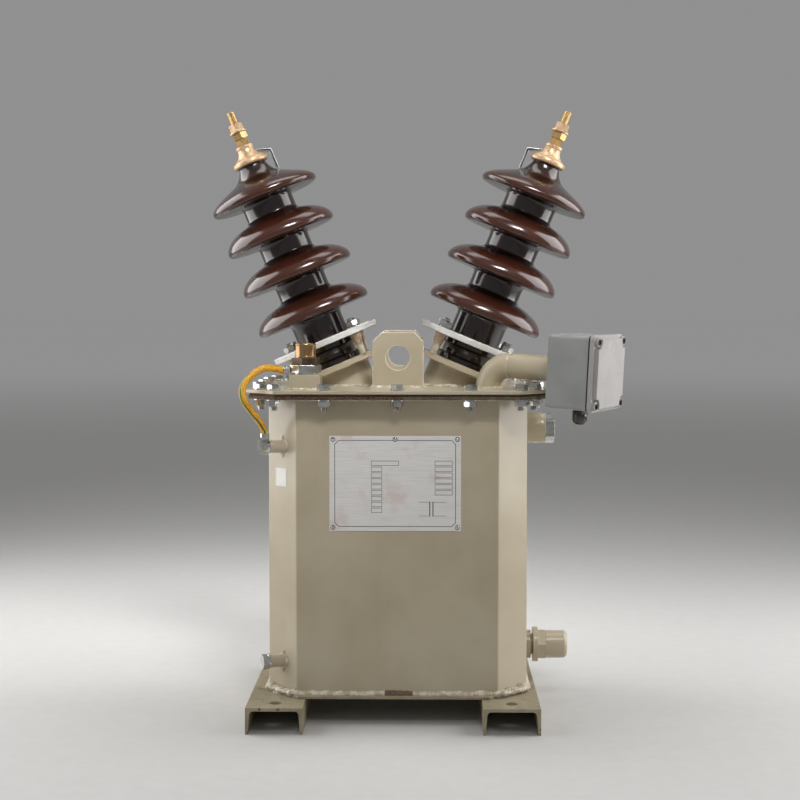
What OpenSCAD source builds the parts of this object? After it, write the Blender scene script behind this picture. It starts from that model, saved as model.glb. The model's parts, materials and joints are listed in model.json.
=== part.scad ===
// Oil-immersed outdoor voltage transformer with two inclined porcelain bushings.
// Millimetres. The origin is on the ground under the middle of the tank.
// The front, which carries the rating plate, faces -Y.

/* [Tank] */
// Width of the tank over its side walls
tank_w = 372; // [340:1:420]
// Depth of the tank over its front and rear walls
tank_d = 280; // [260:1:330]
// Height of the tank wall between base plate and flange
tank_h = 421; // [380:1:480]
// Leg of the chamfer on each upright corner
tank_chamfer = 43; // [36:1:50]
// Thickness of the tank's sheet
tank_wall = 4; // [3:0.5:6]
// Thickness of the base plate
base_t = 4; // [3:0.5:8]
// How far the base plate stands out past the walls
base_lip = 12; // [8:1:20]
// Leg of the chamfer on the base plate's corners
base_chamfer = 62; // [50:1:64]

/* [Lid] */
// How far flange and lid stand out past the walls
flange_lip = 29; // [24:1:36]
// Leg of the chamfer on the lid's corners
lid_chamfer = 42; // [36:1:50]
// Thickness of the flange welded round the tank's mouth
flange_t = 5; // [4:0.5:8]
// Thickness of the cork gasket
gasket_t = 3; // [2:0.5:5]
// How far the flange's edge stays behind the lid's edge
flange_inset = 3; // [0:0.5:4]
// How far the gasket's edge stays behind the lid's edge
gasket_inset = 4.5; // [4:0.5:7]
// Thickness of the lid
lid_t = 5; // [4:0.5:8]

/* [Feet] */
// Width of a foot channel
foot_w = 80; // [60:1:100]
// Height of a foot channel
foot_h = 37; // [30:1:50]
// Length of a foot channel, front to back
foot_l = 410; // [390:1:480]
// Distance between the middles of the two feet
foot_pitch = 330; // [290:1:350]
// How far the feet and the base plate sit to the left of the tank's middle
foot_shift = 5; // [0:0.5:7]
// Thickness of the channel's web
foot_web = 4.5; // [3:0.5:7]
// Thickness of a flange where it meets the web
foot_root = 6; // [4:0.5:8]
// Thickness of a flange at its tip
foot_tip = 3.5; // [2.5:0.5:6]
// Radius of the fillet inside the channel
foot_fillet = 5; // [3:0.5:8]
// Diameter of an anchor hole
anchor_d = 18; // [12:1:22]
// Distance from a foot's end to its anchor hole
anchor_edge = 30; // [22:1:38]

/* [Lifting lugs] */
// Width of a lifting lug
lug_w = 74; // [60:1:90]
// Height of a lifting lug
lug_h = 80; // [72:1:95]
// Thickness of a lifting lug
lug_t = 10; // [8:1:14]
// Distance from the tank's middle to the middle of a lug
lug_y = 80; // [79:1:90]
// Diameter of the eye
lug_eye_d = 35; // [26:1:40]
// Height of the eye above the lid
lug_eye_h = 43; // [38:1:48]
// Leg of the chamfer on a lug's top corners
lug_chamfer = 13; // [8:1:18]

/* [Bushings] */
// Distance from the tank's middle to a bushing's axis, on the lid
bushing_x = 83.6; // [78:0.2:100]
// Lean of a bushing away from upright
bushing_tilt = 22.5; // [18:0.5:24]
// Outer radius of the turret tube
turret_r = 49; // [46:0.5:52]
// Wall of the turret tube
turret_wall = 4; // [3:0.5:6]
// Height of the turret flange's underside along the axis
turret_h = 24; // [22:0.5:34]
// Outer radius of the turret flange
turret_flange_r = 70; // [64:1:72]
// Thickness of the turret flange
turret_flange_t = 8.5; // [6:0.5:12]
// Gap between the porcelain's spigot and the flange's bore
spigot_gap = 2; // [1:0.5:4]
// Length of the spigot below the flange's top face
spigot_l = 34; // [20:1:36]
// Radius of the spigot
spigot_r = 36; // [30:0.5:38]
// Radius of the porcelain core
core_r = 38.8; // [36:0.2:42]
// Radius of the porcelain's foot
porcelain_foot_r = 46; // [44:0.5:52]
// Height of the porcelain's foot
porcelain_foot_h = 7; // [5:0.5:10]
// Distance from the turret flange to the clamp ring
ring_lift = 32; // [26:0.5:40]
// Radius of the shoulder that the clamp ring bears on
shoulder_r = 43.5; // [42.5:0.5:48]
// Height of that shoulder
shoulder_h = 7; // [5:0.5:9]
// Outer radius of the clamp ring
ring_r = 81; // [76:0.5:86]
// Thickness of the clamp ring
ring_t = 9; // [6:0.5:12]
// Gap between the clamp ring and the porcelain core
ring_gap = 0.8; // [0.3:0.1:2]
// Radius of the circle of clamp posts
post_circle_r = 68.5; // [64:0.5:72]
// Number of clamp posts
post_count = 4; // [4:2:6]
// Radius of a clamp post at its foot
post_foot_r = 5.2; // [4:0.1:6]
// Radius of a clamp post at its head
post_head_r = 9; // [7:0.1:9.5]

/* [Sheds] */
// Distance from the clamp ring to the lowest shed
shed_lift = 42; // [38:0.5:60]
// Distance from shed to shed
shed_pitch = 63; // [56:0.5:76]
// Number of sheds
shed_count = 4; // [3:1:5]
// Radius of the lowest shed
shed_low_r = 87; // [80:0.5:95]
// Radius of the top shed
shed_top_r = 82; // [76:0.5:90]
// Height of a shed from its rim to its crown
shed_crown_h = 27; // [22:0.5:30]
// Height of the fillet between crown and core
shed_fillet_h = 9; // [6:0.5:12]
// Width of the fillet between crown and core
shed_fillet_w = 11; // [8:0.5:16]
// Depth of the drip edge under the rim
shed_drip = 6; // [4:0.5:9]
// Height of the top shed's long flare up to the neck
flare_h = 50; // [44:0.5:60]
// Radius of the porcelain neck under the cap
neck_r = 20.5; // [17:0.5:23]

/* [Terminals] */
// Radius of the cap's rim
cap_r = 26.5; // [24:0.5:30]
// Thickness of the cap's rim
cap_rim_t = 8; // [5:0.5:10]
// Height of the cap
cap_h = 30; // [26:0.5:36]
// Radius of the lip on top of the cap
cap_lip_r = 13; // [12:0.5:15]
// Height of the lip
cap_lip_h = 5; // [3:0.5:6]
// Radius of the stud
stud_r = 6; // [5:0.5:8]
// Radius of the stud's thread core inside the nut
stud_core_r = 5.1; // [4.2:0.1:5.5]
// Depth of the stud in the cap
stud_seat = 16; // [10:1:22]
// Gap round the stud in cap and nut
stud_gap = 0.2; // [0.1:0.05:0.4]
// Width across flats of the lower hexagon
low_hex_af = 18; // [17:0.5:21]
// Height of the lower hexagon
low_hex_h = 10.5; // [8:0.5:13]
// Width across flats of the upper hexagon
high_hex_af = 20; // [18:0.5:22]
// Height of the upper hexagon
high_hex_h = 10.5; // [8:0.5:13]
// Radius of the washer under the nut
washer_r = 13; // [12:0.5:15]
// Thickness of the washer
washer_t = 2.5; // [1.5:0.5:4]
// Width across flats of the terminal nut
nut_af = 19; // [17:0.5:21]
// Height of the terminal nut
nut_h = 11; // [9:0.5:13]
// Length of the stud's free end above the nut
stud_free = 19; // [14:0.5:30]
// Width of the spring clip on the cap
clip_w = 7; // [5:0.5:12]
// Thickness of the clip
clip_t = 4; // [2:0.25:5]
// How far the middle of the clip's leg stands out past the cap's rim
clip_reach = 8; // [6:0.5:10]
// How far the clip hangs down beside the neck
clip_drop = 21; // [12:0.5:21.5]

/* [Filler] */
// Distance of the filler to the left of the tank's middle
filler_x = 131; // [126:0.5:136]
// Distance of the filler in front of the tank's middle
filler_y = 118; // [114:0.5:122]
// Side of the square block
filler_block_w = 44; // [36:0.5:46]
// Height of the square block
filler_block_h = 21; // [16:0.5:28]
// Radius of the threaded stem
filler_stem_r = 12; // [10:0.5:13]
// Gap round the stem
filler_gap = 0.3; // [0.2:0.1:0.6]
// Width across flats of the collar
filler_collar_af = 39; // [36:0.5:41]
// Height of the collar
filler_collar_h = 11; // [8:0.5:14]
// Width across flats of the nut
filler_nut_af = 36; // [32:0.5:40]
// Height of the nut
filler_nut_h = 10; // [8:0.5:14]
// Radius of the brass plug
filler_plug_r = 15.4; // [13.5:0.1:16]
// Height of the brass plug
filler_plug_h = 21; // [14:0.5:26]
// Edge break on the brass plug
filler_plug_edge = 1.5; // [0.5:0.25:3]

/* [Terminal box] */
// Distance of the conduit to the right of the tank's middle
conduit_x = 130; // [126:0.5:140]
// Distance of the conduit in front of the tank's middle
conduit_y = 90; // [88:0.5:100]
// Outer radius of the conduit
conduit_r = 18; // [15:0.5:20]
// Wall of the conduit
conduit_wall = 3; // [2:0.5:5]
// Bend radius of the conduit, to its middle
conduit_bend_r = 33; // [31:0.5:40]
// Angle through which the conduit bends
conduit_bend = 93; // [90:0.5:96]
// Turn of the conduit from the right towards the front
conduit_yaw = 25; // [15:0.5:32]
// Straight run of the conduit from bend to box
conduit_run = 77.5; // [60:0.5:100]
// Width across flats of the locknut
locknut_af = 46; // [42:0.5:54]
// Thickness of the locknut
locknut_t = 7; // [4:0.5:10]
// Width of the box
box_w = 118; // [90:1:140]
// Height of the box
box_h = 102; // [85:1:120]
// Depth of the box body
box_d = 61; // [45:1:80]
// Wall of the box
box_wall = 4; // [3:0.5:6]
// Radius of the box's edges
box_edge_r = 6; // [6:0.5:9]
// Thickness of the box lid, with its panel
box_lid_t = 12; // [10:0.5:16]
// How far the lid stands out past the box body
box_lid_lip = 2; // [1:0.5:4]
// Height of the raised panel on the lid
box_panel_h = 6.4; // [3:0.2:8]
// How far the panel's edge stays behind the lid's edge
box_panel_inset = 5.2; // [3:0.2:6]
// How far the lid's corner screws sit in from its edges
box_screw_inset = 9; // [7:0.5:12]
// Radius of the panel's corner notches
box_notch_r = 10; // [8:0.5:12]
// Radius of the bosses round the corner screws
box_screw_r = 6.6; // [5:0.2:7.4]
// Height of those bosses
box_screw_h = 5; // [3:0.5:6]
// Radius of the gland's hole in the box
gland_hole_r = 8; // [6:0.5:10]
// Width across flats of the gland's body
gland_af = 22; // [20:0.5:26]
// Height of the gland's body
gland_body_h = 9; // [6:0.5:12]
// Radius of the gland's dome nut
gland_nut_r = 10.5; // [9.5:0.25:12]
// Height of the gland's dome nut
gland_nut_h = 15; // [10:0.5:18]
// Radius of the cable entry
gland_bore_r = 5; // [3:0.25:6]

/* [Side fittings] */
// Distance from the tank's flange down to the sight glass's axis
sight_drop = 51; // [46:1:72]
// Radius of the sight glass boss
sight_r = 22.5; // [21:0.5:26]
// Length of the sight glass boss
sight_l = 32; // [26:0.5:44]
// Wall of the sight glass boss
sight_wall = 7; // [5:0.5:9]
// Width across flats of the bezel
sight_bezel_af = 40; // [38:0.5:44]
// Thickness of the bezel
sight_bezel_t = 13.5; // [8:0.5:16]
// Radius of the window
sight_window_r = 13; // [10:0.5:15]
// Thickness of the glass
sight_glass_t = 4; // [3:0.5:5]
// Height of the drain's axis above the ground
drain_z = 85; // [76:1:110]
// Radius of the drain's weld boss
drain_boss_r = 21; // [18:0.5:24]
// Length of the weld boss
drain_boss_l = 11.5; // [8:0.5:16]
// Radius of the drain's neck
drain_neck_r = 15; // [12:0.5:17]
// Length of the neck that shows
drain_neck_l = 3; // [2:0.5:6]
// Radius of the drain's collar
drain_collar_r = 26; // [24:0.5:30]
// Thickness of the collar
drain_collar_t = 7.5; // [5:0.5:10]
// Width across flats of the drain's hexagon
drain_hex_af = 41; // [38:0.5:44]
// Thickness of the hexagon
drain_hex_t = 11; // [8:0.5:15]
// Radius of the drain's cap
drain_cap_r = 20.5; // [18:0.5:21.5]
// Length of the cap
drain_cap_l = 33; // [24:0.5:40]
// Rounding of the cap's end
drain_cap_round = 7; // [3:0.5:10]

/* [Earthing and plate] */
// Distance from the tank's flange down to the upper earth boss
upper_earth_drop = 69; // [62:1:82]
// Height of the lower earth boss above the ground
lower_earth_z = 85; // [76:1:110]
// Radius of an earth boss
earth_boss_r = 9; // [7:0.5:11]
// Length of an earth boss
earth_boss_l = 20.5; // [16:0.5:26]
// Heading of the earth bosses' axes, seen from above
earth_turn = 202; // [195:1:225]
// Width across flats of an earth bolt's head
earth_bolt_af = 19; // [16:0.5:22]
// Height of an earth bolt's head
earth_bolt_h = 8; // [6:0.5:11]
// Radius of an earth bolt's washer
earth_washer_r = 11.5; // [10:0.5:13]
// Thickness of an earth bolt's washer
earth_washer_t = 2.5; // [1.5:0.5:4]
// Thickness of the jumper's lugs
jumper_lug_t = 2.5; // [1.5:0.25:3.5]
// Radius of the jumper's lower ring lug
jumper_ring_r = 10; // [9:0.5:12]
// Radius of the jumper's upper ring lug
jumper_big_ring_r = 17; // [15:0.5:18]
// Width of the palm between a ring lug and its barrel
jumper_palm_w = 9; // [6:0.5:10]
// Length of a lug's barrel
barrel_l = 6; // [4:0.5:10]
// Wall of a lug's barrel
barrel_wall = 1; // [0.5:0.25:1.5]
// Gap between a lug's barrel and the nut or bolt head beside it
barrel_gap = 2; // [1:0.25:3]
// Diameter of the jumper cable
jumper_d = 10; // [6:0.5:10]
// Width of the rating plate
plate_w = 186; // [150:1:210]
// Height of the rating plate
plate_h = 135; // [110:1:150]
// Thickness of the rating plate
plate_t = 1.2; // [0.8:0.1:2]
// Distance from the tank's flange down to the rating plate's upper edge
plate_drop = 52; // [40:0.5:90]
// Distance of the rating plate's middle to the left of the tank's middle
plate_shift = 3; // [0:0.5:10]

/* [Hidden] */
$fn = 96;
ROOT2 = sqrt(2);
// Loss of chamfer leg for each unit that an octagon is offset inwards
LEG_LOSS = 2 - ROOT2;
TINY = 0.01;
// Depth to which the pieces of one solid run into each other
BITE = 0.1;

tank_z = foot_h + base_t;
flange_z = tank_z + tank_h;
gasket_z = flange_z + flange_t;
lid_z = gasket_z + gasket_t;
lid_top = lid_z + lid_t;
lid_w = tank_w + 2 * flange_lip;
lid_d = tank_d + 2 * flange_lip;
mouth_w = tank_w - 2 * tank_wall;
mouth_d = tank_d - 2 * tank_wall;
mouth_chamfer = tank_chamfer - tank_wall * LEG_LOSS;

// Stations along a bushing's axis, from the lid
flange_top_s = turret_h + turret_flange_t;
ring_s = flange_top_s + ring_lift;
ring_top_s = ring_s + ring_t;
low_shed_s = ring_top_s + shed_lift;
top_shed_s = low_shed_s + (shed_count - 1) * shed_pitch;
neck_top_s = top_shed_s + flare_h;
cap_top_s = neck_top_s + cap_h;
stud_foot_s = cap_top_s - stud_seat;
washer_s = cap_top_s + low_hex_h + high_hex_h;
nut_s = washer_s + washer_t;
stud_top_s = nut_s + nut_h + stud_free;

filler_top = lid_top + filler_block_h;
collar_z = filler_top + jumper_lug_t;
filler_nut_z = collar_z + filler_collar_h;
filler_plug_z = filler_nut_z + filler_nut_h;
stem_top = filler_nut_z + filler_nut_h;

// Heights of what hangs on the tank's walls below its flange
sight_z = flange_z - sight_drop;
upper_earth_z = flange_z - upper_earth_drop;
plate_z = flange_z - plate_drop - plate_h;

// Middle of the left front chamfer and the way that it faces
chamfer_x = -(tank_w - tank_chamfer) / 2;
chamfer_y = -(tank_d - tank_chamfer) / 2;
chamfer_turn = 225;
lug_seat = earth_boss_l + jumper_lug_t;
barrel_r = jumper_d / 2 + barrel_wall;
// Distance from the filler's axis to the start of the upper lug's barrel
barrel_start = filler_collar_af / sqrt(3) + barrel_gap;

// Route of the earth jumper, from the filler's lug to the upper earth boss
jumper_route = [
    [-162, -118, 502], [-166, -118, 502], [-172, -120, 503.5], [-180, -125, 505],
    [-189, -131, 505], [-198, -137, 501], [-206, -142, 495], [-214, -146, 486],
    [-218, -149, 476], [-217, -151, 466], [-213, -150, 456], [-206, -147, 446],
    [-199, -142, 436], [-193.5, -136, 427], [-190, -130, 419], [-189, -128.4, 413]];
jumper_sides = 16;

LEFT = -1;
RIGHT = 1;
PAINT = [0.72, 0.67, 0.53];
PORCELAIN = [0.24, 0.10, 0.06];
BRASS = [0.80, 0.66, 0.40];
ZINC = [0.78, 0.78, 0.76];
BOX_GREY = [0.52, 0.53, 0.52];

// Shared shapes

module octagon(w, d, leg) {
    x = w / 2;
    y = d / 2;
    polygon([[x - leg, -y], [x, leg - y], [x, y - leg], [x - leg, y],
        [leg - x, y], [-x, y - leg], [-x, leg - y], [leg - x, -y]]);
}

module plate(w, d, leg, t) {
    linear_extrude(t) octagon(w, d, leg);
}

module frame_plate(w, d, leg, t) {
    linear_extrude(t) difference() {
        octagon(w, d, leg);
        octagon(mouth_w, mouth_d, mouth_chamfer);
    }
}

// Hexagonal prism given by its width across flats
module hexagon(af, h) {
    cylinder(h = h, r = af / sqrt(3), $fn = 6);
}

module rounded_rectangle(w, h, r) {
    square([w - 2 * r, h], center = true);
    square([w, h - 2 * r], center = true);
    for (x = [r - w / 2, w / 2 - r], y = [r - h / 2, h / 2 - r])
        translate([x, y]) circle(r);
}

// Point of a cubic curve, from a to d
function cubic(a, b, c, d, t) =
    a * pow(1 - t, 3) + 3 * b * t * pow(1 - t, 2) + 3 * c * t * t * (1 - t) + d * pow(t, 3);

function curve(a, b, c, d, steps) = [for (i = [0 : steps]) cubic(a, b, c, d, i / steps)];

// Feet and tank

// Half of the channel's section, cut away inside with a tapered flange
module channel_hollow() {
    floor_w = foot_w / 2 - foot_root;
    mouth = foot_w / 2 - foot_tip;
    top = foot_h - foot_web;
    difference() {
        polygon([[-floor_w, top], [-mouth, -1], [mouth, -1], [floor_w, top]]);
        for (side = [LEFT, RIGHT])
            translate([side * floor_w, top]) difference() {
                square(2 * foot_fillet, center = true);
                translate([-side * foot_fillet, -foot_fillet]) circle(foot_fillet);
                translate([-side * 2 * foot_fillet, 0]) square(2 * foot_fillet, center = true);
                translate([0, -2 * foot_fillet]) square(2 * foot_fillet, center = true);
            }
    }
}

module foot(side) {
    translate([side * foot_pitch / 2 - foot_shift, 0, 0]) difference() {
        rotate([90, 0, 0]) linear_extrude(foot_l, center = true) difference() {
            translate([-foot_w / 2, 0]) square([foot_w, foot_h]);
            channel_hollow();
        }
        for (y = [anchor_edge - foot_l / 2, foot_l / 2 - anchor_edge])
            translate([0, y, 0]) cylinder(h = 2 * foot_h, d = anchor_d);
    }
}

module left_foot() {
    color(PAINT) foot(LEFT);
}

module right_foot() {
    color(PAINT) foot(RIGHT);
}

module tank_base() {
    color(PAINT) translate([-foot_shift, 0, foot_h])
        plate(tank_w + 2 * base_lip, tank_d + 2 * base_lip, base_chamfer, base_t);
}

module tank_shell() {
    color(PAINT) translate([0, 0, tank_z]) frame_plate(tank_w, tank_d, tank_chamfer, tank_h);
}

// Frame round the tank's mouth that stays behind the lid's edge
module inset_frame(inset, t) {
    frame_plate(lid_w - 2 * inset, lid_d - 2 * inset, lid_chamfer - inset * LEG_LOSS, t);
}

module tank_flange() {
    color(PAINT) translate([0, 0, flange_z]) inset_frame(flange_inset, flange_t);
}

module lid_gasket() {
    color([0.30, 0.20, 0.12]) translate([0, 0, gasket_z]) inset_frame(gasket_inset, gasket_t);
}

module lid() {
    color(PAINT) difference() {
        translate([0, 0, lid_z]) plate(lid_w, lid_d, lid_chamfer, lid_t);
        for (side = [LEFT, RIGHT])
            bushing_place(side) cylinder(h = 4 * turret_r, r = turret_r - turret_wall, center = true);
        conduit_place() cylinder(h = 4 * lid_t, r = conduit_r - conduit_wall, center = true);
    }
}

module lifting_lug(side) {
    half = lug_w / 2;
    translate([0, side * lug_y, lid_top]) rotate([90, 0, 0]) linear_extrude(lug_t, center = true)
        difference() {
            polygon([[-half, 0], [half, 0], [half, lug_h - lug_chamfer], [half - lug_chamfer, lug_h],
                [lug_chamfer - half, lug_h], [-half, lug_h - lug_chamfer]]);
            translate([0, lug_eye_h]) circle(d = lug_eye_d);
        }
}

module front_lifting_lug() {
    color(PAINT) lifting_lug(-1);
}

module rear_lifting_lug() {
    color(PAINT) lifting_lug(1);
}

// Bushings

module bushing_place(side) {
    translate([side * bushing_x, 0, lid_top]) rotate([0, side * bushing_tilt, 0]) children();
}

// Keeps only what stands above the lid
module above_lid() {
    difference() {
        children();
        translate([-lid_w, -lid_d, lid_top - lid_w]) cube([2 * lid_w, 2 * lid_d, lid_w]);
    }
}

module turret(side) {
    color(PAINT) above_lid() bushing_place(side) translate([0, 0, -turret_r]) difference() {
        cylinder(h = turret_r + turret_h, r = turret_r);
        translate([0, 0, -1]) cylinder(h = turret_r + turret_h + 2, r = turret_r - turret_wall);
    }
}

module left_turret() {
    turret(LEFT);
}

module right_turret() {
    turret(RIGHT);
}

// Round plate that is cut flush with the lid on its low side
module turret_flange(side) {
    color(PAINT) above_lid() bushing_place(side) translate([0, 0, turret_h]) difference() {
        cylinder(h = turret_flange_t, r = turret_flange_r);
        translate([0, 0, -1]) cylinder(h = turret_flange_t + 2, r = spigot_r + spigot_gap);
    }
}

module left_turret_flange() {
    turret_flange(LEFT);
}

module right_turret_flange() {
    turret_flange(RIGHT);
}

// Cast posts that hold the clamp ring up, straight below and flared at the head
module clamp_posts(side) {
    step = 0.46 * ring_lift;
    color(ZINC) bushing_place(side) translate([0, 0, flange_top_s])
        for (i = [0 : post_count - 1])
            rotate([0, 0, (i + 0.5) * 360 / post_count]) translate([post_circle_r, 0, 0])
                rotate_extrude() polygon([[0, 0], [post_foot_r, 0], [post_foot_r, step],
                    [post_foot_r + 0.6, step + 0.6], [post_head_r, ring_lift], [0, ring_lift]]);
}

module left_clamp_posts() {
    clamp_posts(LEFT);
}

module right_clamp_posts() {
    clamp_posts(RIGHT);
}

module clamp_ring(side) {
    color(ZINC) bushing_place(side) translate([0, 0, ring_s]) difference() {
        cylinder(h = ring_t, r = ring_r);
        translate([0, 0, -1]) cylinder(h = ring_t + 2, r = core_r + ring_gap);
    }
}

module left_clamp_ring() {
    clamp_ring(LEFT);
}

module right_clamp_ring() {
    clamp_ring(RIGHT);
}

// Rim and underside of a shed, from its lower fillet out to the rim's top
function shed_underside(s, r) = concat(
    curve([core_r, s - 2.4 * shed_drip], [core_r, s - 1.4 * shed_drip],
        [core_r + 2, s - shed_drip], [core_r + 6, s - shed_drip], 6),
    curve([r - 8, s - shed_drip], [r - 3, s - shed_drip], [r, s - 0.7 * shed_drip], [r, s], 8));

// Domed top of a shed, from its rim to the core
function shed_top(s, r) = let (crown_r = core_r + shed_fillet_w, crown = s + shed_crown_h) concat(
    curve([r, s + 2], [r - 3, s + 0.56 * shed_crown_h],
        [crown_r + 0.38 * (r - crown_r), crown - 3], [crown_r, crown], 12),
    curve([crown_r - 1, crown + 0.3], [core_r + 4, crown + 1.5],
        [core_r, crown + 3], [core_r, crown + shed_fillet_h], 6));

// Top shed's surface, one long sweep from the rim to the neck
function flare_top(s, r) = let (mid_r = (r + neck_r) / 2 - 10, mid = s + 0.51 * flare_h) concat(
    curve([r, s + 1.5], [r - 3, s + 0.22 * flare_h], [mid_r + 14, mid - 6.5], [mid_r, mid], 10),
    curve([mid_r - 1, mid + 0.4], [mid_r - 11, mid + 4],
        [neck_r + 1.5, s + 0.8 * flare_h], [neck_r, s + flare_h], 10));

function shed_s(i) = low_shed_s + i * shed_pitch;
function shed_r(i) = shed_low_r + (shed_top_r - shed_low_r) * i / (shed_count - 1);

porcelain_outline = concat(
    [[0, flange_top_s - spigot_l], [spigot_r, flange_top_s - spigot_l], [spigot_r, flange_top_s],
        [porcelain_foot_r, flange_top_s], [porcelain_foot_r, flange_top_s + porcelain_foot_h],
        [core_r, flange_top_s + porcelain_foot_h + 3],
        [core_r, ring_s - shoulder_h - 3], [shoulder_r, ring_s - shoulder_h],
        [shoulder_r, ring_s], [core_r, ring_s]],
    [for (i = [0 : shed_count - 2])
        each concat(shed_underside(shed_s(i), shed_r(i)), shed_top(shed_s(i), shed_r(i)))],
    shed_underside(top_shed_s, shed_top_r), flare_top(top_shed_s, shed_top_r),
    [[0, neck_top_s]]);

module bushing(side) {
    color(PORCELAIN) bushing_place(side) rotate_extrude() polygon(porcelain_outline);
}

module left_bushing() {
    bushing(LEFT);
}

module right_bushing() {
    bushing(RIGHT);
}

// Side of the cap's bell, from its rim up to its lip
cap_lip_z = cap_h - cap_lip_h;
cap_bell = curve([cap_r - 1, cap_rim_t - 0.5], [cap_r - 6, cap_rim_t + 2.5],
    [cap_lip_r, cap_rim_t + 6], [cap_lip_r - 1, cap_lip_z], 10);

// Bell-shaped brass cap with a lip on top and a blind hole for the stud
module terminal_cap(side) {
    outline = concat([[0, 0], [cap_r - 1.5, 0], [cap_r, 1.5], [cap_r, cap_rim_t - 2]], cap_bell,
        [[cap_lip_r, cap_lip_z + 1], [cap_lip_r, cap_h], [0, cap_h]]);
    color(BRASS) bushing_place(side) translate([0, 0, neck_top_s]) difference() {
        rotate_extrude() polygon(outline);
        translate([0, 0, cap_h - stud_seat]) cylinder(h = cap_h, r = stud_r + stud_gap);
    }
}

module left_terminal_cap() {
    terminal_cap(LEFT);
}

module right_terminal_cap() {
    terminal_cap(RIGHT);
}

// Stud with two hexagons that rest on the cap
module terminal_stud(side) {
    color(BRASS) bushing_place(side) {
        translate([0, 0, stud_foot_s]) cylinder(h = stud_seat + TINY, r = stud_r);
        translate([0, 0, cap_top_s]) hexagon(low_hex_af, low_hex_h + TINY);
        translate([0, 0, cap_top_s + low_hex_h]) rotate([0, 0, 14]) hexagon(high_hex_af, high_hex_h);
        translate([0, 0, washer_s - TINY]) cylinder(h = washer_t + nut_h + 2 * TINY, r = stud_core_r);
        translate([0, 0, nut_s + nut_h]) cylinder(h = stud_free, r = stud_r);
    }
}

module left_terminal_stud() {
    terminal_stud(LEFT);
}

module right_terminal_stud() {
    terminal_stud(RIGHT);
}

// Hexagonal nut on a flange washer
module terminal_nut(side) {
    color(BRASS) bushing_place(side) difference() {
        union() {
            translate([0, 0, washer_s]) cylinder(h = washer_t + TINY, r = washer_r);
            translate([0, 0, nut_s]) rotate([0, 0, 25]) hexagon(nut_af, nut_h);
        }
        translate([0, 0, washer_s - 1]) cylinder(h = washer_t + nut_h + 2, r = stud_core_r + stud_gap);
    }
}

module terminal_nuts() {
    for (side = [LEFT, RIGHT])
        terminal_nut(side);
}

// Bent bar that leans on the cap's bell and reaches down to the top shed, on the inner side
module cap_clip(side) {
    leg = cap_r + clip_reach;
    bend = neck_top_s + 12.5;
    foot = neck_top_s - clip_drop;
    seat = [0, neck_top_s];
    strip = [seat + cap_bell[8], seat + cap_bell[6], [leg - clip_t / 2, bend - clip_t],
        [leg - clip_t / 2, foot + 2.5], [leg + clip_t / 2, foot], [leg + clip_t / 2, bend - 0.8],
        [leg + clip_t / 2 - 1, bend]];
    color(ZINC) bushing_place(side) rotate([0, 0, side == RIGHT ? 180 : 0])
        rotate([90, 0, 0]) linear_extrude(clip_w, center = true) polygon(strip);
}

module cap_clips() {
    for (side = [LEFT, RIGHT])
        cap_clip(side);
}

// Filler

module filler_place(z) {
    translate([-filler_x, -filler_y, z]) children();
}

module filler_block() {
    color(PAINT) filler_place(lid_top) {
        translate([-filler_block_w / 2, -filler_block_w / 2, 0])
            cube([filler_block_w, filler_block_w, filler_block_h]);
        cylinder(h = stem_top - lid_top, r = filler_stem_r);
    }
}

module filler_ring(z, af, h, turn) {
    filler_place(z) difference() {
        rotate([0, 0, turn]) hexagon(af, h);
        translate([0, 0, -1]) cylinder(h = h + 2, r = filler_stem_r + filler_gap);
    }
}

module filler_collar() {
    color([0.80, 0.79, 0.75]) filler_ring(collar_z, filler_collar_af, filler_collar_h, 8);
}

module filler_nut() {
    color([0.35, 0.33, 0.30]) filler_ring(filler_nut_z, filler_nut_af, filler_nut_h, 20);
}

// Turned plug with a lip at its foot and at its top
module filler_plug() {
    r = filler_plug_r;
    h = filler_plug_h;
    lip = 2 * filler_plug_edge;
    color(BRASS) filler_place(filler_plug_z) rotate_extrude()
        polygon([[0, 0], [r, 0], [r, lip - 0.8], [r - 0.8, lip], [r - 0.8, h - lip], [r, h - lip + 0.8],
            [r, h - filler_plug_edge], [r - filler_plug_edge, h], [0, h]]);
}

// Conduit and terminal box

module conduit_place() {
    translate([conduit_x, -conduit_y, lid_top]) rotate([0, 0, -conduit_yaw]) children();
}

// Frame at the end of the bend, with +X along the straight run
module run_place() {
    conduit_place()
        translate([conduit_bend_r * (1 - cos(conduit_bend)), 0, conduit_bend_r * sin(conduit_bend)])
            rotate([0, conduit_bend - 90, 0]) children();
}

module box_place() {
    run_place() translate([conduit_run, 0, 0]) children();
}

module conduit_section() {
    difference() {
        circle(conduit_r);
        circle(conduit_r - conduit_wall);
    }
}

module conduit_elbow() {
    color(PAINT) {
        conduit_place() translate([conduit_bend_r, 0, 0]) rotate([-90, 0, 180])
            rotate_extrude(angle = -conduit_bend) translate([conduit_bend_r, 0]) conduit_section();
        run_place() translate([-BITE, 0, 0]) rotate([0, 90, 0])
            linear_extrude(conduit_run + BITE) conduit_section();
    }
}

module conduit_locknut() {
    color(ZINC) box_place() rotate([0, -90, 0]) difference() {
        hexagon(locknut_af, locknut_t);
        translate([0, 0, -1]) cylinder(h = locknut_t + 2, r = conduit_r + filler_gap);
    }
}

// Section of the box, seen along the conduit
module box_section(grow) {
    rounded_rectangle(box_h + 2 * grow, box_w + 2 * grow, box_edge_r + grow);
}

module terminal_box() {
    color(BOX_GREY) box_place() difference() {
        rotate([0, 90, 0]) linear_extrude(box_d) box_section(0);
        translate([box_wall, 0, 0]) rotate([0, 90, 0]) linear_extrude(box_d) box_section(-box_wall);
        rotate([0, 90, 0]) cylinder(h = 4 * box_wall, r = conduit_r - conduit_wall, center = true);
        translate([box_d / 2, 0, -box_h / 2]) cylinder(h = 4 * box_wall, r = gland_hole_r, center = true);
    }
}

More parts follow.
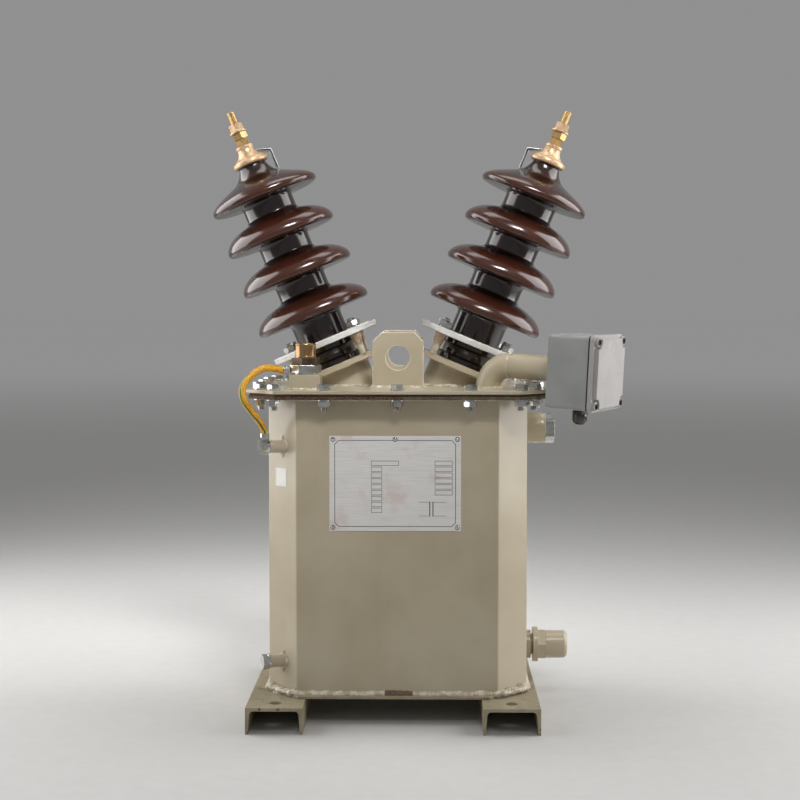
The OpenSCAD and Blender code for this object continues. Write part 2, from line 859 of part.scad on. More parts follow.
module box_screw_places() {
    across = box_w / 2 + box_lid_lip - box_screw_inset;
    up = box_h / 2 + box_lid_lip - box_screw_inset;
    for (x = [-up, up], y = [-across, across]) translate([x, y, 0]) children();
}

// Lid with a raised panel, notched at the corners round the screw bosses
module terminal_box_lid() {
    edge_t = box_lid_t - box_panel_h;
    color([0.67, 0.66, 0.65]) box_place() translate([box_d, 0, 0]) rotate([0, 90, 0]) union() {
        linear_extrude(edge_t) box_section(box_lid_lip);
        translate([0, 0, edge_t - BITE]) difference() {
            linear_extrude(box_panel_h + BITE) box_section(box_lid_lip - box_panel_inset);
            box_screw_places() translate([0, 0, -1]) cylinder(h = box_panel_h + 3, r = box_notch_r);
        }
        box_screw_places() translate([0, 0, edge_t - BITE]) cylinder(h = box_screw_h + BITE, r = box_screw_r);
    }
}

module cable_gland() {
    dome = [[0, 0], [gland_nut_r, 0], [gland_nut_r, gland_nut_h - 6], [gland_nut_r - 1.5, gland_nut_h - 2.5],
        [gland_nut_r - 4, gland_nut_h], [0, gland_nut_h]];
    color([0.20, 0.20, 0.20]) box_place() translate([box_d / 2, 0, -box_h / 2]) rotate([180, 0, 0])
        difference() {
            union() {
                hexagon(gland_af, gland_body_h + TINY);
                translate([0, 0, gland_body_h]) rotate_extrude() polygon(dome);
            }
            translate([0, 0, -1]) cylinder(h = gland_body_h + gland_nut_h + 2, r = gland_bore_r);
        }
}

// Fittings on the right side wall

module side_place(z) {
    translate([tank_w / 2, 0, z]) rotate([0, 90, 0]) children();
}

module sight_glass_boss() {
    color(PAINT) side_place(sight_z) difference() {
        cylinder(h = sight_l, r = sight_r);
        translate([0, 0, sight_l / 2]) cylinder(h = sight_l, r = sight_r - sight_wall);
    }
}

module sight_glass_bezel() {
    color(ZINC) side_place(sight_z) translate([0, 0, sight_l]) difference() {
        hexagon(sight_bezel_af, sight_bezel_t);
        translate([0, 0, sight_bezel_t - sight_glass_t]) cylinder(h = sight_bezel_t, r = sight_window_r);
    }
}

module sight_glass() {
    color([0.75, 0.72, 0.55, 0.5]) side_place(sight_z)
        translate([0, 0, sight_l + sight_bezel_t - sight_glass_t])
            cylinder(h = sight_glass_t - 1, r = sight_window_r - 0.2);
}

module drain_boss() {
    color(PAINT) side_place(drain_z) cylinder(h = drain_boss_l, r = drain_boss_r);
}

module drain_valve() {
    color(PAINT) side_place(drain_z) translate([0, 0, drain_boss_l]) {
        cylinder(h = drain_neck_l + TINY, r = drain_neck_r);
        translate([0, 0, drain_neck_l]) cylinder(h = drain_collar_t, r = drain_collar_r);
        translate([0, 0, drain_neck_l + drain_collar_t - TINY])
            rotate([0, 0, 22]) hexagon(drain_hex_af, drain_hex_t + TINY);
    }
}

module drain_cap() {
    r = drain_cap_r;
    round = drain_cap_round;
    steps = 6;
    arc = [for (i = [0 : steps]) [r - round + round * cos(90 * i / steps),
        drain_cap_l - round + round * sin(90 * i / steps)]];
    color(PAINT) side_place(drain_z)
        translate([0, 0, drain_boss_l + drain_neck_l + drain_collar_t + drain_hex_t])
            rotate_extrude() polygon(concat([[0, 0], [r, 0]], arc, [[0, drain_cap_l]]));
}

// Earthing

module earth_place(z) {
    translate([chamfer_x, chamfer_y, z]) rotate([0, 0, earth_turn]) rotate([0, 90, 0]) children();
}

module earth_boss(z) {
    block = 4 * earth_boss_r;
    color(PAINT) difference() {
        earth_place(z) translate([0, 0, -earth_boss_r])
            cylinder(h = earth_boss_l + earth_boss_r, r = earth_boss_r);
        translate([chamfer_x, chamfer_y, z]) rotate([0, 0, chamfer_turn]) translate([-block / 2, 0, 0])
            cube(block, center = true);
    }
}

module earth_bosses() {
    for (z = [upper_earth_z, lower_earth_z])
        earth_boss(z);
}

module earth_bolt(z, seat, turn) {
    color(ZINC) earth_place(z) translate([0, 0, seat]) {
        cylinder(h = earth_washer_t + TINY, r = earth_washer_r);
        translate([0, 0, earth_washer_t]) rotate([0, 0, turn]) hexagon(earth_bolt_af, earth_bolt_h);
    }
}

module earth_bolts() {
    earth_bolt(upper_earth_z, lug_seat, 10);
    earth_bolt(lower_earth_z, earth_boss_l, 22);
}

// Flat ring with a palm along +X and a crimped barrel at the palm's end
module ring_lug(r, start) {
    cylinder(h = jumper_lug_t, r = r);
    translate([0, -jumper_palm_w / 2, 0]) cube([start + barrel_l, jumper_palm_w, jumper_lug_t]);
    translate([start, 0, barrel_r]) rotate([0, 90, 0]) cylinder(h = barrel_l, r = barrel_r);
}

// Tinned ring lugs at both ends of the jumper
module jumper_lugs() {
    color(ZINC) {
        earth_place(upper_earth_z) translate([0, 0, earth_boss_l]) rotate([0, 0, 180])
            ring_lug(jumper_ring_r, earth_washer_r + barrel_gap);
        filler_place(filler_top) difference() {
            rotate([0, 0, 180]) ring_lug(jumper_big_ring_r, barrel_start);
            translate([0, 0, -1]) cylinder(h = jumper_lug_t + 2, r = filler_stem_r + filler_gap);
        }
    }
}

function unit(v) = v / norm(v);

function route_heading(path, i) =
    unit(path[min(i + 1, len(path) - 1)] - path[max(i - 1, 0)]);

// Tube of round section along a route, as one closed skin
module swept_tube(path, r, sides) {
    rings = len(path);
    points = [for (i = [0 : rings - 1])
        let (
            ahead = route_heading(path, i),
            across = unit(cross(ahead, [1, -1, 0])),
            up = cross(across, ahead))
        for (k = [0 : sides - 1])
            path[i] + r * (across * cos(360 * k / sides) + up * sin(360 * k / sides))];
    skin = [for (i = [0 : rings - 2], k = [0 : sides - 1])
        [i * sides + k, i * sides + (k + 1) % sides,
            (i + 1) * sides + (k + 1) % sides, (i + 1) * sides + k]];
    start = [[for (k = [sides - 1 : -1 : 0]) k]];
    end = [[for (k = [0 : sides - 1]) (rings - 1) * sides + k]];
    polyhedron(points, concat(skin, start, end));
}

module earth_jumper() {
    color([0.85, 0.62, 0.08]) swept_tube(jumper_route, jumper_d / 2, jumper_sides);
}

module nameplate() {
    color([0.62, 0.62, 0.60])
        translate([-plate_shift - plate_w / 2, -tank_d / 2 - plate_t, plate_z])
            cube([plate_w, plate_t, plate_h]);
}

left_foot();
right_foot();
tank_base();
tank_shell();
tank_flange();
lid_gasket();
lid();
front_lifting_lug();
rear_lifting_lug();
left_turret();
right_turret();
left_turret_flange();
right_turret_flange();
left_clamp_posts();
right_clamp_posts();
left_clamp_ring();
right_clamp_ring();
left_bushing();
right_bushing();
left_terminal_cap();
right_terminal_cap();
left_terminal_stud();
right_terminal_stud();
terminal_nuts();
cap_clips();
filler_block();
filler_collar();
filler_nut();
filler_plug();
conduit_elbow();
conduit_locknut();
terminal_box();
terminal_box_lid();
cable_gland();
sight_glass_boss();
sight_glass_bezel();
sight_glass();
drain_boss();
drain_valve();
drain_cap();
earth_bosses();
earth_bolts();
jumper_lugs();
earth_jumper();
nameplate();
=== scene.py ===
"""Looks of an outdoor voltage transformer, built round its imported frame.

Shapes are written in millimetres in the part's own frame, and become metres when a piece is made.
"""
import json
import math
import random

import bmesh
import bpy
from mathutils import Matrix, Vector


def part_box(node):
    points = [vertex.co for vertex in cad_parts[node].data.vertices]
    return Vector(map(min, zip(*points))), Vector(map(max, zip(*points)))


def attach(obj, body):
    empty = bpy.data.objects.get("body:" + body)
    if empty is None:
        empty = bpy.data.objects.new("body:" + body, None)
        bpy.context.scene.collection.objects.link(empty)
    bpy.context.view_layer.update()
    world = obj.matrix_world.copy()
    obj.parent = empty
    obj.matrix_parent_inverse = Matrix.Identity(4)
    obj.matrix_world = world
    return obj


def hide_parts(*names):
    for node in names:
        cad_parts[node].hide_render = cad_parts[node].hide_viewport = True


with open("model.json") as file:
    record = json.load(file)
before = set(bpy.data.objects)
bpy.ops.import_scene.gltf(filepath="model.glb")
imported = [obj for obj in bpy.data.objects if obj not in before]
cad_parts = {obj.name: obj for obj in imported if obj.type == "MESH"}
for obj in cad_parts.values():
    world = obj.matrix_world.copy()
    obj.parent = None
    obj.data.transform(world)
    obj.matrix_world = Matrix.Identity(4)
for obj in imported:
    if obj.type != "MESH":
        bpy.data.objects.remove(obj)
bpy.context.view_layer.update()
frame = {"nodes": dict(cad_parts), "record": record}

MM = 0.001
ROOT = "root"
MOUNTS = {mount["name"]: mount for mount in frame["record"]["mounts"]}
SLOT_OF = {part["node"]: part["material_slot"] for part in frame["record"]["subparts"]}
UP = Vector((0, 0, 1))
RIGHT = Vector((1, 0, 0))
ALONG_X = Matrix.Rotation(math.pi / 2, 4, "Y")
FACE_FRONT = Matrix.Rotation(math.pi / 2, 4, "X")
FLIP = Matrix.Rotation(math.pi, 4, "X")
CORNERS = [(sx, sy) for sx in (-1, 1) for sy in (-1, 1)]
rng = random.Random(7)


# Measures taken from the frame

def span(node):
    """Lowest and highest corner of a CAD node."""
    low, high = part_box(node)
    return low / MM, high / MM


def points_of(node):
    """Points of a CAD node."""
    return [v.co / MM for v in frame["nodes"][node].data.vertices]


def reach(node, place, side=0):
    """Lowest and highest corner of a node, or of its half on one side of X = 0, in a place."""
    home = place.inverted()
    points = [home @ p for p in points_of(node) if p.x * side >= 0]
    low = Vector([min(p[i] for p in points) for i in range(3)])
    high = Vector([max(p[i] for p in points) for i in range(3)])
    return low, high


def reach_r(node, place, above):
    """Largest radius of a node about a place's axis, above a height."""
    home = place.inverted()
    points = [home @ p for p in points_of(node)]
    return max(p.xy.length for p in points if p.z > above)


LID_EDGE = span("lid")[1]
LID_TOP = LID_EDGE.z
FLANGE_LOW = span("tank_flange")[0].z
TANK_LOW, TANK_HIGH = span("tank_shell")
BASE_LOW, BASE_HIGH = span("tank_base")
# Chamfer legs of the octagons, and how far the gasket lies inside the lid's edge
TANK_LEG = 43
LID_LEG = 42
BASE_LEG = 62
GASKET_INSET = 4.5
# Loss of an octagon's chamfer leg for each millimetre that it is offset inwards
LEG_LOSS = 2 - math.sqrt(2)


def bushing_place(name):
    """Frame on the lid with its Z along the left or right bushing's axis."""
    mount = MOUNTS[name + "_terminal"]
    axis = Vector(mount["axis"])
    tip = Vector(mount["pos_m"]) / MM
    foot = tip - axis * ((tip.z - LID_TOP) / axis.z)
    depth = Vector((0, 1, 0))
    turn = Matrix((depth.cross(axis), depth, axis)).transposed().to_4x4()
    return Matrix.Translation(foot) @ turn


SIDES = {"left": -1, "right": 1}
BUSHINGS = {name: bushing_place(name) for name in SIDES}
LUGS = ("front_lifting_lug", "rear_lifting_lug")

# Turn of the terminal box towards the front, and its conduit's droop and bend
BOX_YAW = math.radians(25)
BOX_DROOP = math.radians(3)
CONDUIT_BEND_R = 33
# Points of a node within this height of its lowest make up its foot
FOOT_BAND = 0.2


def conduit_foot():
    """Middle of the conduit on the lid, and its radius."""
    low = span("conduit_elbow")[0]
    feet = [p for p in points_of("conduit_elbow") if p.z < low.z + FOOT_BAND]
    middle = sum(feet, Vector()) / len(feet)
    return middle, max((p - middle).length for p in feet)


CONDUIT_FOOT, CONDUIT_R = conduit_foot()
BEND_END = Vector((CONDUIT_BEND_R * (1 + math.sin(BOX_DROOP)), 0, CONDUIT_BEND_R * math.cos(BOX_DROOP)))
# Frame where the conduit's bend ends: X along its straight run to the box, Z up
RUN_PLACE = (Matrix.Translation(CONDUIT_FOOT) @ Matrix.Rotation(-BOX_YAW, 4, "Z")
             @ Matrix.Translation(BEND_END) @ Matrix.Rotation(BOX_DROOP, 4, "Y"))


def chamfer_place(z):
    """Frame on the tank's left front chamfer: Z out of it, Y up."""
    facing = Vector((-1, -1, 0)).normalized()
    spot = (TANK_LEG / 2 - TANK_HIGH.x, TANK_LEG / 2 - TANK_HIGH.y, z)
    return Matrix.Translation(spot) @ facing.to_track_quat("Z", "Y").to_matrix().to_4x4()


# Materials

def linear(rgb):
    """Shader colour of an sRGB colour given in 0 to 255."""
    parts = [c / 255 for c in rgb]
    return [c / 12.92 if c <= 0.04045 else ((c + 0.055) / 1.055) ** 2.4 for c in parts] + [1.0]


class Finish:
    """A node material: its shader, with short calls for the textures that feed it."""

    def __init__(self, name, color, rough, **sockets):
        """Start with one colour and roughness; other sockets go by name, with _ for a space."""
        self.material = bpy.data.materials.new(name)
        self.material.use_nodes = True
        self.material.diffuse_color = linear(color)
        self.nodes = self.material.node_tree.nodes
        self.links = self.material.node_tree.links
        self.shader = self.nodes["Principled BSDF"]
        for socket, value in {"Base_Color": linear(color), "Roughness": rough, **sockets}.items():
            self.shader.inputs[socket.replace("_", " ")].default_value = value
        self.where = self.nodes.new("ShaderNodeTexCoord").outputs["Object"]

    def feed(self, socket, value):
        """Link a socket to another one, or set it to a plain value."""
        if isinstance(value, bpy.types.NodeSocket):
            self.links.new(value, socket)
        else:
            socket.default_value = value

    def node(self, kind, **inputs):
        """New node; its inputs go by name, or by number as _0, _1 and so on."""
        made = self.nodes.new(kind)
        for key, value in inputs.items():
            self.feed(made.inputs[int(key[1:]) if key[1:].isdigit() else key], value)
        return made

    def noise(self, scale, detail=2.0, rough=0.5, stretch=None):
        """Noise in the object's own coordinates, which can be scaled along each axis first."""
        where = self.where
        if stretch:
            scaled = self.node("ShaderNodeVectorMath", _0=where, _1=stretch)
            scaled.operation = "MULTIPLY"
            where = scaled.outputs[0]
        made = self.node("ShaderNodeTexNoise", Vector=where, Scale=scale, Detail=detail, Roughness=rough)
        return made.outputs[0]

    def cells(self, scale):
        """Distance to the nearest of many scattered points."""
        return self.node("ShaderNodeTexVoronoi", Vector=self.where, Scale=scale).outputs["Distance"]

    def along(self, axis):
        """Coordinate along one axis, in metres."""
        return self.node("ShaderNodeSeparateXYZ", _0=self.where).outputs[axis]

    def distance(self):
        """Distance from the object's origin, in metres."""
        made = self.node("ShaderNodeVectorMath", _0=self.where)
        made.operation = "LENGTH"
        return made.outputs["Value"]

    def attribute(self, name):
        """Value that the mesh's points were marked with."""
        made = self.nodes.new("ShaderNodeAttribute")
        made.attribute_name = name
        return made.outputs["Fac"]

    def band(self, value, start, end, low=0.0, high=1.0):
        """Smooth step from low to high while a value goes from start to end."""
        made = self.node("ShaderNodeMapRange", _0=value, _1=start, _2=end, _3=low, _4=high)
        made.interpolation_type = "SMOOTHSTEP"
        return made.outputs[0]

    def math(self, operation, a, b):
        """One step of arithmetic on two values."""
        made = self.node("ShaderNodeMath", _0=a, _1=b)
        made.operation = operation
        return made.outputs[0]

    def mix(self, share, a, b):
        """Colour between two others, each an sRGB colour or a socket."""
        made = self.nodes.new("ShaderNodeMix")
        made.data_type = "RGBA"
        self.feed(made.inputs[0], share)
        for socket, value in ((made.inputs[6], a), (made.inputs[7], b)):
            self.feed(socket, value if isinstance(value, bpy.types.NodeSocket) else linear(value))
        return made.outputs[2]

    def clouds(self, a, b, between, *noise):
        """Colour from a to b, by a noise that goes between two values."""
        return self.mix(self.band(self.noise(*noise), *between), a, b)

    def color(self, value):
        """Drive the base colour."""
        self.links.new(value, self.shader.inputs["Base Color"])

    def rough(self, ends, between, *noise):
        """Roughness between two ends, by a noise that goes between two values."""
        self.links.new(self.band(self.noise(*noise), *between, *ends), self.shader.inputs["Roughness"])

    def bump(self, value, strength, depth):
        """Drive the surface's small relief, with its depth in metres."""
        made = self.node("ShaderNodeBump", Strength=strength, Distance=depth, Height=value)
        self.links.new(made.outputs[0], self.shader.inputs["Normal"])


PAINT = (184, 172, 147)
PAINT_PALE = (190, 179, 155)
PAINT_DULL = (175, 162, 136)
PAINT_STAIN = (132, 116, 90)
BARE_STEEL = (150, 146, 138)
RUST = (112, 66, 38)


def tank_paint():
    """Satin beige enamel with faint clouding, run marks and grime."""
    finish = Finish("tank_enamel", PAINT, 0.42, Coat_Weight=0.3, Coat_Roughness=0.14)
    tone = finish.clouds(PAINT_DULL, PAINT_PALE, (0.25, 0.75), 7, 3)
    runs = finish.band(finish.noise(1, 2, stretch=(30, 30, 4)), 0.45, 0.9, 0, 0.12)
    tone = finish.mix(runs, tone, PAINT_STAIN)
    dust = finish.band(finish.noise(40, 2), 0.4, 0.85, 0, 0.08)
    finish.color(finish.mix(dust, tone, PAINT_STAIN))
    finish.rough((0.29, 0.38), (0.25, 0.8), 12, 3)
    finish.bump(finish.noise(650, 2), 0.08, 0.0006)
    return finish.material


def foot_paint():
    """The same enamel, dirty and chipped to steel and rust on the feet and the base plate."""
    finish = Finish("scuffed_enamel", PAINT, 0.5)
    tone = finish.clouds((150, 139, 114), (164, 153, 128), (0.25, 0.75), 14, 3)
    dirt = finish.band(finish.noise(50, 6, 0.7), 0.45, 0.72, 0, 0.45)
    tone = finish.mix(dirt, tone, (104, 93, 72))
    low = finish.band(finish.along("Z"), 0.0, 0.03, 0.14, 0.0)
    chips = finish.band(finish.math("ADD", finish.noise(120, 5, 0.65), low), 0.68, 0.71)
    worn = finish.clouds(BARE_STEEL, RUST, (0.45, 0.6), 260, 3)
    finish.color(finish.mix(chips, tone, worn))
    finish.rough((0.42, 0.66), (0.25, 0.8), 80, 4)
    finish.bump(finish.noise(420, 3), 0.16, 0.0006)
    return finish.material


def flange_paint():
    """Flange edge: torn brown sealing residue on the left, olive paint on the right, both darkened as
    painted shade under the lid's edge.
    """
    finish = Finish("dirty_shaded_flange", (96, 84, 62), 0.7)
    # Both tones carry painted shade from the lid's overhang on top of the residue's and the paint's own
    # colours
    residue = finish.clouds((46, 33, 23), (104, 78, 53), (0.4, 0.62), 330, 5, 0.7)
    olive = finish.clouds((74, 69, 52), (106, 99, 78), (0.35, 0.7), 90, 4)
    wander = finish.band(finish.noise(55, 3), 0.2, 0.8, -0.05, 0.05)
    edge = finish.math("ADD", finish.along("X"), wander)
    finish.color(finish.mix(finish.band(edge, -0.01, 0.03), residue, olive))
    finish.rough((0.55, 0.85), (0.3, 0.7), 120, 3)
    finish.bump(finish.noise(360, 4, 0.7), 0.5, 0.0009)
    return finish.material


def edge_paint():
    """Paint that is pale along dressed edges: partly worn paint, partly a painted highlight."""
    finish = Finish("worn_edge_and_highlight", (216, 209, 192), 0.38)
    finish.color(finish.clouds((206, 197, 176), (226, 221, 208), (0.4, 0.7), 150, 4))
    finish.bump(finish.noise(500, 2), 0.1, 0.0005)
    return finish.material


def weld_paint():
    """Patchy enamel with stained spots over a rippled weld; its pale patches are partly the paint's own
    tone and partly a painted highlight.
    """
    finish = Finish("weld_enamel", PAINT_PALE, 0.4)
    # Pale patches: partly the paint's own tone, partly a painted highlight on the bead
    tone = finish.clouds(PAINT, (224, 216, 198), (0.38, 0.62), 90, 3)
    spots = finish.band(finish.noise(240, 4, 0.65), 0.52, 0.74, 0, 0.45)
    finish.color(finish.mix(spots, tone, PAINT_STAIN))
    finish.rough((0.29, 0.45), (0.3, 0.7), 140, 3)
    finish.bump(finish.noise(380, 3), 0.35, 0.0008)
    return finish.material


def porcelain():
    """Dark brown glaze with faint speckle under a clear coat, reddish on the rims: partly the glaze's own
    lighter edge, partly a painted highlight.
    """
    finish = Finish("brown_glaze", (42, 23, 18), 0.24, Coat_Weight=0.5, Coat_Roughness=0.13)
    body = finish.clouds((27, 13, 8), (44, 21, 13), (0.3, 0.75), 24, 4)
    # Reddish towards the sheds' rims: the glaze's lighter edge and a painted highlight where the rims catch
    # the light
    rim_glaze_and_highlight = finish.band(finish.attribute("rim"), 0.62, 1.0, 0, 0.6)
    body = finish.mix(rim_glaze_and_highlight, body, (76, 37, 23))
    speck = finish.band(finish.noise(700, 2), 0.68, 0.74, 0, 0.3)
    finish.color(finish.mix(speck, body, (78, 44, 32)))
    finish.rough((0.16, 0.26), (0.3, 0.8), 40, 3)
    finish.bump(finish.noise(95, 2), 0.05, 0.002)
    return finish.material


def brass():
    """Cast brass with a grainy skin and patches of patina."""
    finish = Finish("cast_brass", (211, 179, 143), 0.37, Metallic=0.45)
    finish.color(finish.clouds((211, 179, 143), (184, 149, 113), (0.42, 0.72), 130, 5, 0.65))
    finish.rough((0.29, 0.49), (0.3, 0.75), 220, 4)
    finish.bump(finish.noise(900, 3), 0.18, 0.0004)
    return finish.material


def plated(name, color, dull, rough, metal):
    """Metal plate with dull clouds."""
    finish = Finish(name, color, rough, Metallic=metal)
    finish.color(finish.clouds(color, dull, (0.3, 0.75), 80, 3))
    finish.rough((rough - 0.05, rough + 0.06), (0.3, 0.75), 110, 2)
    finish.bump(finish.noise(260, 2), 0.02, 0.0003)
    return finish.material


def post_alloy():
    """Cast posts: cream paint below, a tan film on the flared head."""
    finish = Finish("post_alloy", (196, 184, 160), 0.4, Metallic=0.25)
    head = finish.band(finish.attribute("head"), 0.44, 0.52)
    low = finish.clouds((206, 198, 178), (184, 174, 152), (0.35, 0.7), 160, 4)
    high = finish.clouds((196, 172, 150), (170, 144, 122), (0.35, 0.7), 160, 4)
    finish.color(finish.mix(head, low, high))
    finish.rough((0.3, 0.46), (0.3, 0.7), 240, 3)
    finish.bump(finish.noise(600, 2), 0.08, 0.0003)
    return finish.material


def cork():
    """Bonded cork grains."""
    finish = Finish("cork", (84, 58, 38), 0.9)
    grain = finish.band(finish.cells(420), 0.1, 0.6)
    finish.color(finish.mix(grain, (52, 34, 22), (112, 80, 52)))
    finish.bump(finish.noise(520, 4, 0.7), 0.8, 0.001)
    return finish.material


def hammered(name, color, dark):
    """Grey stove enamel with a fine hammered skin."""
    finish = Finish(name, color, 0.4)
    finish.color(finish.clouds(color, dark, (0.3, 0.75), 30, 4))
    finish.rough((0.3, 0.5), (0.3, 0.75), 90, 3)
    finish.bump(finish.cells(330), 0.12, 0.0006)
    return finish.material


def window():
    """Clear glass with amber oil close behind it."""
    finish = Finish("sight_window", (214, 176, 96), 0.06,
                    Transmission_Weight=0.4, IOR=1.5, Coat_Weight=0.6)
    finish.color(finish.clouds((222, 190, 116), (196, 152, 74), (0.4, 0.7), 70, 3))
    finish.rough((0.04, 0.1), (0.3, 0.7), 200, 2)
    finish.bump(finish.noise(120, 2), 0.03, 0.0004)
    return finish.material


def sheath(name, color, worn):
    """Cable sheath, worn in patches."""
    finish = Finish(name, color, 0.36)
    finish.color(finish.clouds(color, worn, (0.42, 0.75), 140, 4, 0.6))
    finish.bump(finish.noise(480, 2), 0.06, 0.0004)
    return finish.material


def plate_metal():
    """Bright brushed plate with a few pinkish stains."""
    finish = Finish("rating_plate", (228, 226, 223), 0.4, Metallic=0.15)
    brushed = finish.noise(1, 3, stretch=(30, 30, 1400))
    tone = finish.mix(finish.band(brushed, 0.3, 0.7), (222, 220, 217), (236, 234, 231))
    stain = finish.band(finish.noise(26, 4, 0.6), 0.54, 0.74, 0, 0.45)
    finish.color(finish.mix(stain, tone, (214, 188, 178)))
    finish.rough((0.34, 0.5), (0.3, 0.7), 50, 3)
    finish.bump(brushed, 0.05, 0.0003)
    return finish.material


def plain(name, color, rough, grain=300, shade=0.8):
    """Small trim: one colour, clouded a little."""
    finish = Finish(name, color, rough)
    dark = [shade * c for c in color]
    finish.color(finish.clouds(color, dark, (0.4, 0.75), grain, 3))
    finish.rough((rough - 0.05, rough + 0.08), (0.3, 0.7), 2 * grain, 2)
    finish.bump(finish.noise(3 * grain, 2), 0.1, 0.0003)
    return finish.material


FINISH = {
    "tank_paint": tank_paint(),
    "porcelain": porcelain(),
    "brass": brass(),
    "zinc": plated("zinc_plate", (214, 214, 210), (178, 178, 174), 0.19, 0.95),
    "cast_alloy": plated("cast_alloy", (224, 223, 219), (208, 207, 202), 0.5, 0.25),
    "dark_steel": plated("dark_steel", (92, 78, 62), (64, 54, 44), 0.4, 0.7),
    "dark_nickel": plated("dark_nickel", (88, 86, 84), (66, 64, 62), 0.13, 1.0),
    "cork": cork(),
    "box_paint": hammered("box_enamel", (150, 151, 149), (140, 141, 139)),
    "box_lid_paint": hammered("box_lid_enamel", (168, 165, 162), (159, 156, 153)),
    "window": window(),
    "cable_sheath": sheath("amber_sheath", (226, 166, 40), (196, 134, 24)),
    "plate_metal": plate_metal(),
}
FOOT_PAINT = foot_paint()
FLANGE_PAINT_AND_SHADE = flange_paint()
EDGE_WEAR_AND_HIGHLIGHT = edge_paint()
WELD_PAINT = weld_paint()
POST_ALLOY = post_alloy()
PLUG_BRASS = plated("plug_brass", (168, 136, 96), (146, 114, 78), 0.2, 0.85)
# Cap clips: a dark body that is a painted dark reflection down the rod's middle, and pale bevelled edges
# that are painted highlights
CLIP_DARK_REFLECTION = plated("clip_dark_reflection", (92, 96, 92), (66, 70, 66), 0.34, 0.8)
CLIP_EDGE_HIGHLIGHT = plated("clip_edge_highlight", (226, 227, 224), (206, 207, 203), 0.35, 0.5)
STUD_BRASS = plated("turned_brass", (205, 171, 114), (187, 152, 98), 0.2, 0.55)
GREEN_STRIPE = sheath("green_stripe", (62, 112, 50), (44, 86, 40))
# Dark print on the rating plate, also painted shade round the rivets' feet
PRINT_AND_RIVET_SHADE = plain("plate_print_and_rivet_shade", (78, 76, 75), 0.6)
TAG = plain("paper_tag", (232, 230, 224), 0.7, 120, 0.95)
RUBBER = plain("black_rubber", (30, 29, 28), 0.65)
PRIMER = plain("brown_primer", (112, 92, 70), 0.7, 160)
CHIP_PALE = plain("bare_chip", (222, 216, 204), 0.5)
# Dark chips, also painted shade of a small hole in the drain's cap
DARK_CHIP_AND_HOLE_SHADE = plain("chip_and_hole_shade", (62, 54, 44), 0.7)


# Shape builders

def add_rings(bm, rings, loop=False):
    """Skin over rings of as many points, capped at both ends unless the rings form a loop."""
    made = [[bm.verts.new(p) for p in ring] for ring in rings]
    following = made[1:] + (made[:1] if loop else [])
    for a, b in zip(made, following):
        for k, _ in enumerate(a):
            n = (k + 1) % len(a)
            bm.faces.new((a[k], a[n], b[n], b[k]))
    if not loop:
        bm.faces.new(made[0][::-1])
        bm.faces.new(made[-1])


def circle(r, z, steps):
    """Points of a level ring about Z."""
    turns = [math.tau * k / steps for k in range(steps)]
    return [Vector((r * math.cos(a), r * math.sin(a), z)) for a in turns]


def rectangle(low, high):
    """Corners of a rectangle between two opposite ones."""
    return [(low[0], low[1]), (high[0], low[1]), (high[0], high[1]), (low[0], high[1])]


def add_lathe(bm, outline, place, steps=32):
    """Turned piece from (radius, height) pairs, bottom to top."""
    add_rings(bm, [[place @ p for p in circle(r, z, steps)] for r, z in outline])


HEX_STEPS = 24
HEX_SLOPE = math.tan(math.radians(30))
# Radius of a hexagon's round end face, as a share of its width across flats
HEX_FACE = 0.47


def hex_ring(af, face_r, height_of):
    """Ring round a hexagon; height_of gives a height from the drop at a turned-off corner."""
    ring = []
    for k in range(HEX_STEPS):
        a = math.tau * k / HEX_STEPS
        off = (a + math.pi / 6) % (math.pi / 3) - math.pi / 6
        r = af / 2 / math.cos(off)
        drop = HEX_SLOPE * max(r - face_r, 0)
        ring.append(Vector((r * math.cos(a), r * math.sin(a), height_of(drop))))
    return ring


def add_hex(bm, af, h, place, both=True):
    """Hexagon with turned-off corners on top, and below too on a nut."""
    face_r = HEX_FACE * af
    top = [hex_ring(af, face_r, lambda drop: h - drop), circle(face_r, h, HEX_STEPS)]
    if both:
        low = [circle(face_r, 0, HEX_STEPS), hex_ring(af, face_r, lambda drop: drop)]
    else:
        low = [hex_ring(af, face_r, lambda drop: 0)]
    add_rings(bm, [[place @ p for p in ring] for ring in low + top])


THREAD_STEPS = 24
# End of a thread: its last crest's rise as a share of the pitch, its wear, and its chamfer
LAST_RISE = 0.4
LAST_WEAR = 0.2
TIP_LENGTH = 1
TIP_CUT = 0.5


def add_thread(bm, r, length, pitch, place, depth=0.5):
    """Threaded end, as a row of crests and roots; the depth is a share of the pitch."""
    root = r - depth * pitch
    outline = [(root, 0)]
    for i in range(int(length / pitch) - 1):
        outline += [(r, (i + 0.5) * pitch), (root, (i + 1) * pitch)]
    last_r = r - LAST_WEAR
    last_z = outline[-1][1] + LAST_RISE * pitch
    outline += [(last_r, last_z), (last_r, length - TIP_LENGTH), (root - TIP_CUT, length)]
    add_lathe(bm, outline, place, THREAD_STEPS)


def add_tube(bm, path, radii, sides, up, loop=False):
    """Round tube along a path; up is a direction that the path never follows."""
    rings = []
    last = len(path) - 1
    for i, point in enumerate(path):
        ahead = path[(i + 1) % len(path)] if loop or i < last else point
        behind = path[i - 1] if loop or i else point
        along = (ahead - behind).normalized()
        side = along.cross(up).normalized()
        top = side.cross(along)
        turns = [math.tau * k / sides for k in range(sides)]
        rings.append([point + (side * math.cos(a) + top * math.sin(a)) * radii[i] for a in turns])
    add_rings(bm, rings, loop)


def add_slab(bm, flat, place, height):
    """Flat piece with an outline on a place's plane."""
    add_rings(bm, [[place @ Vector((*p, z)) for p in flat] for z in (0, height)])


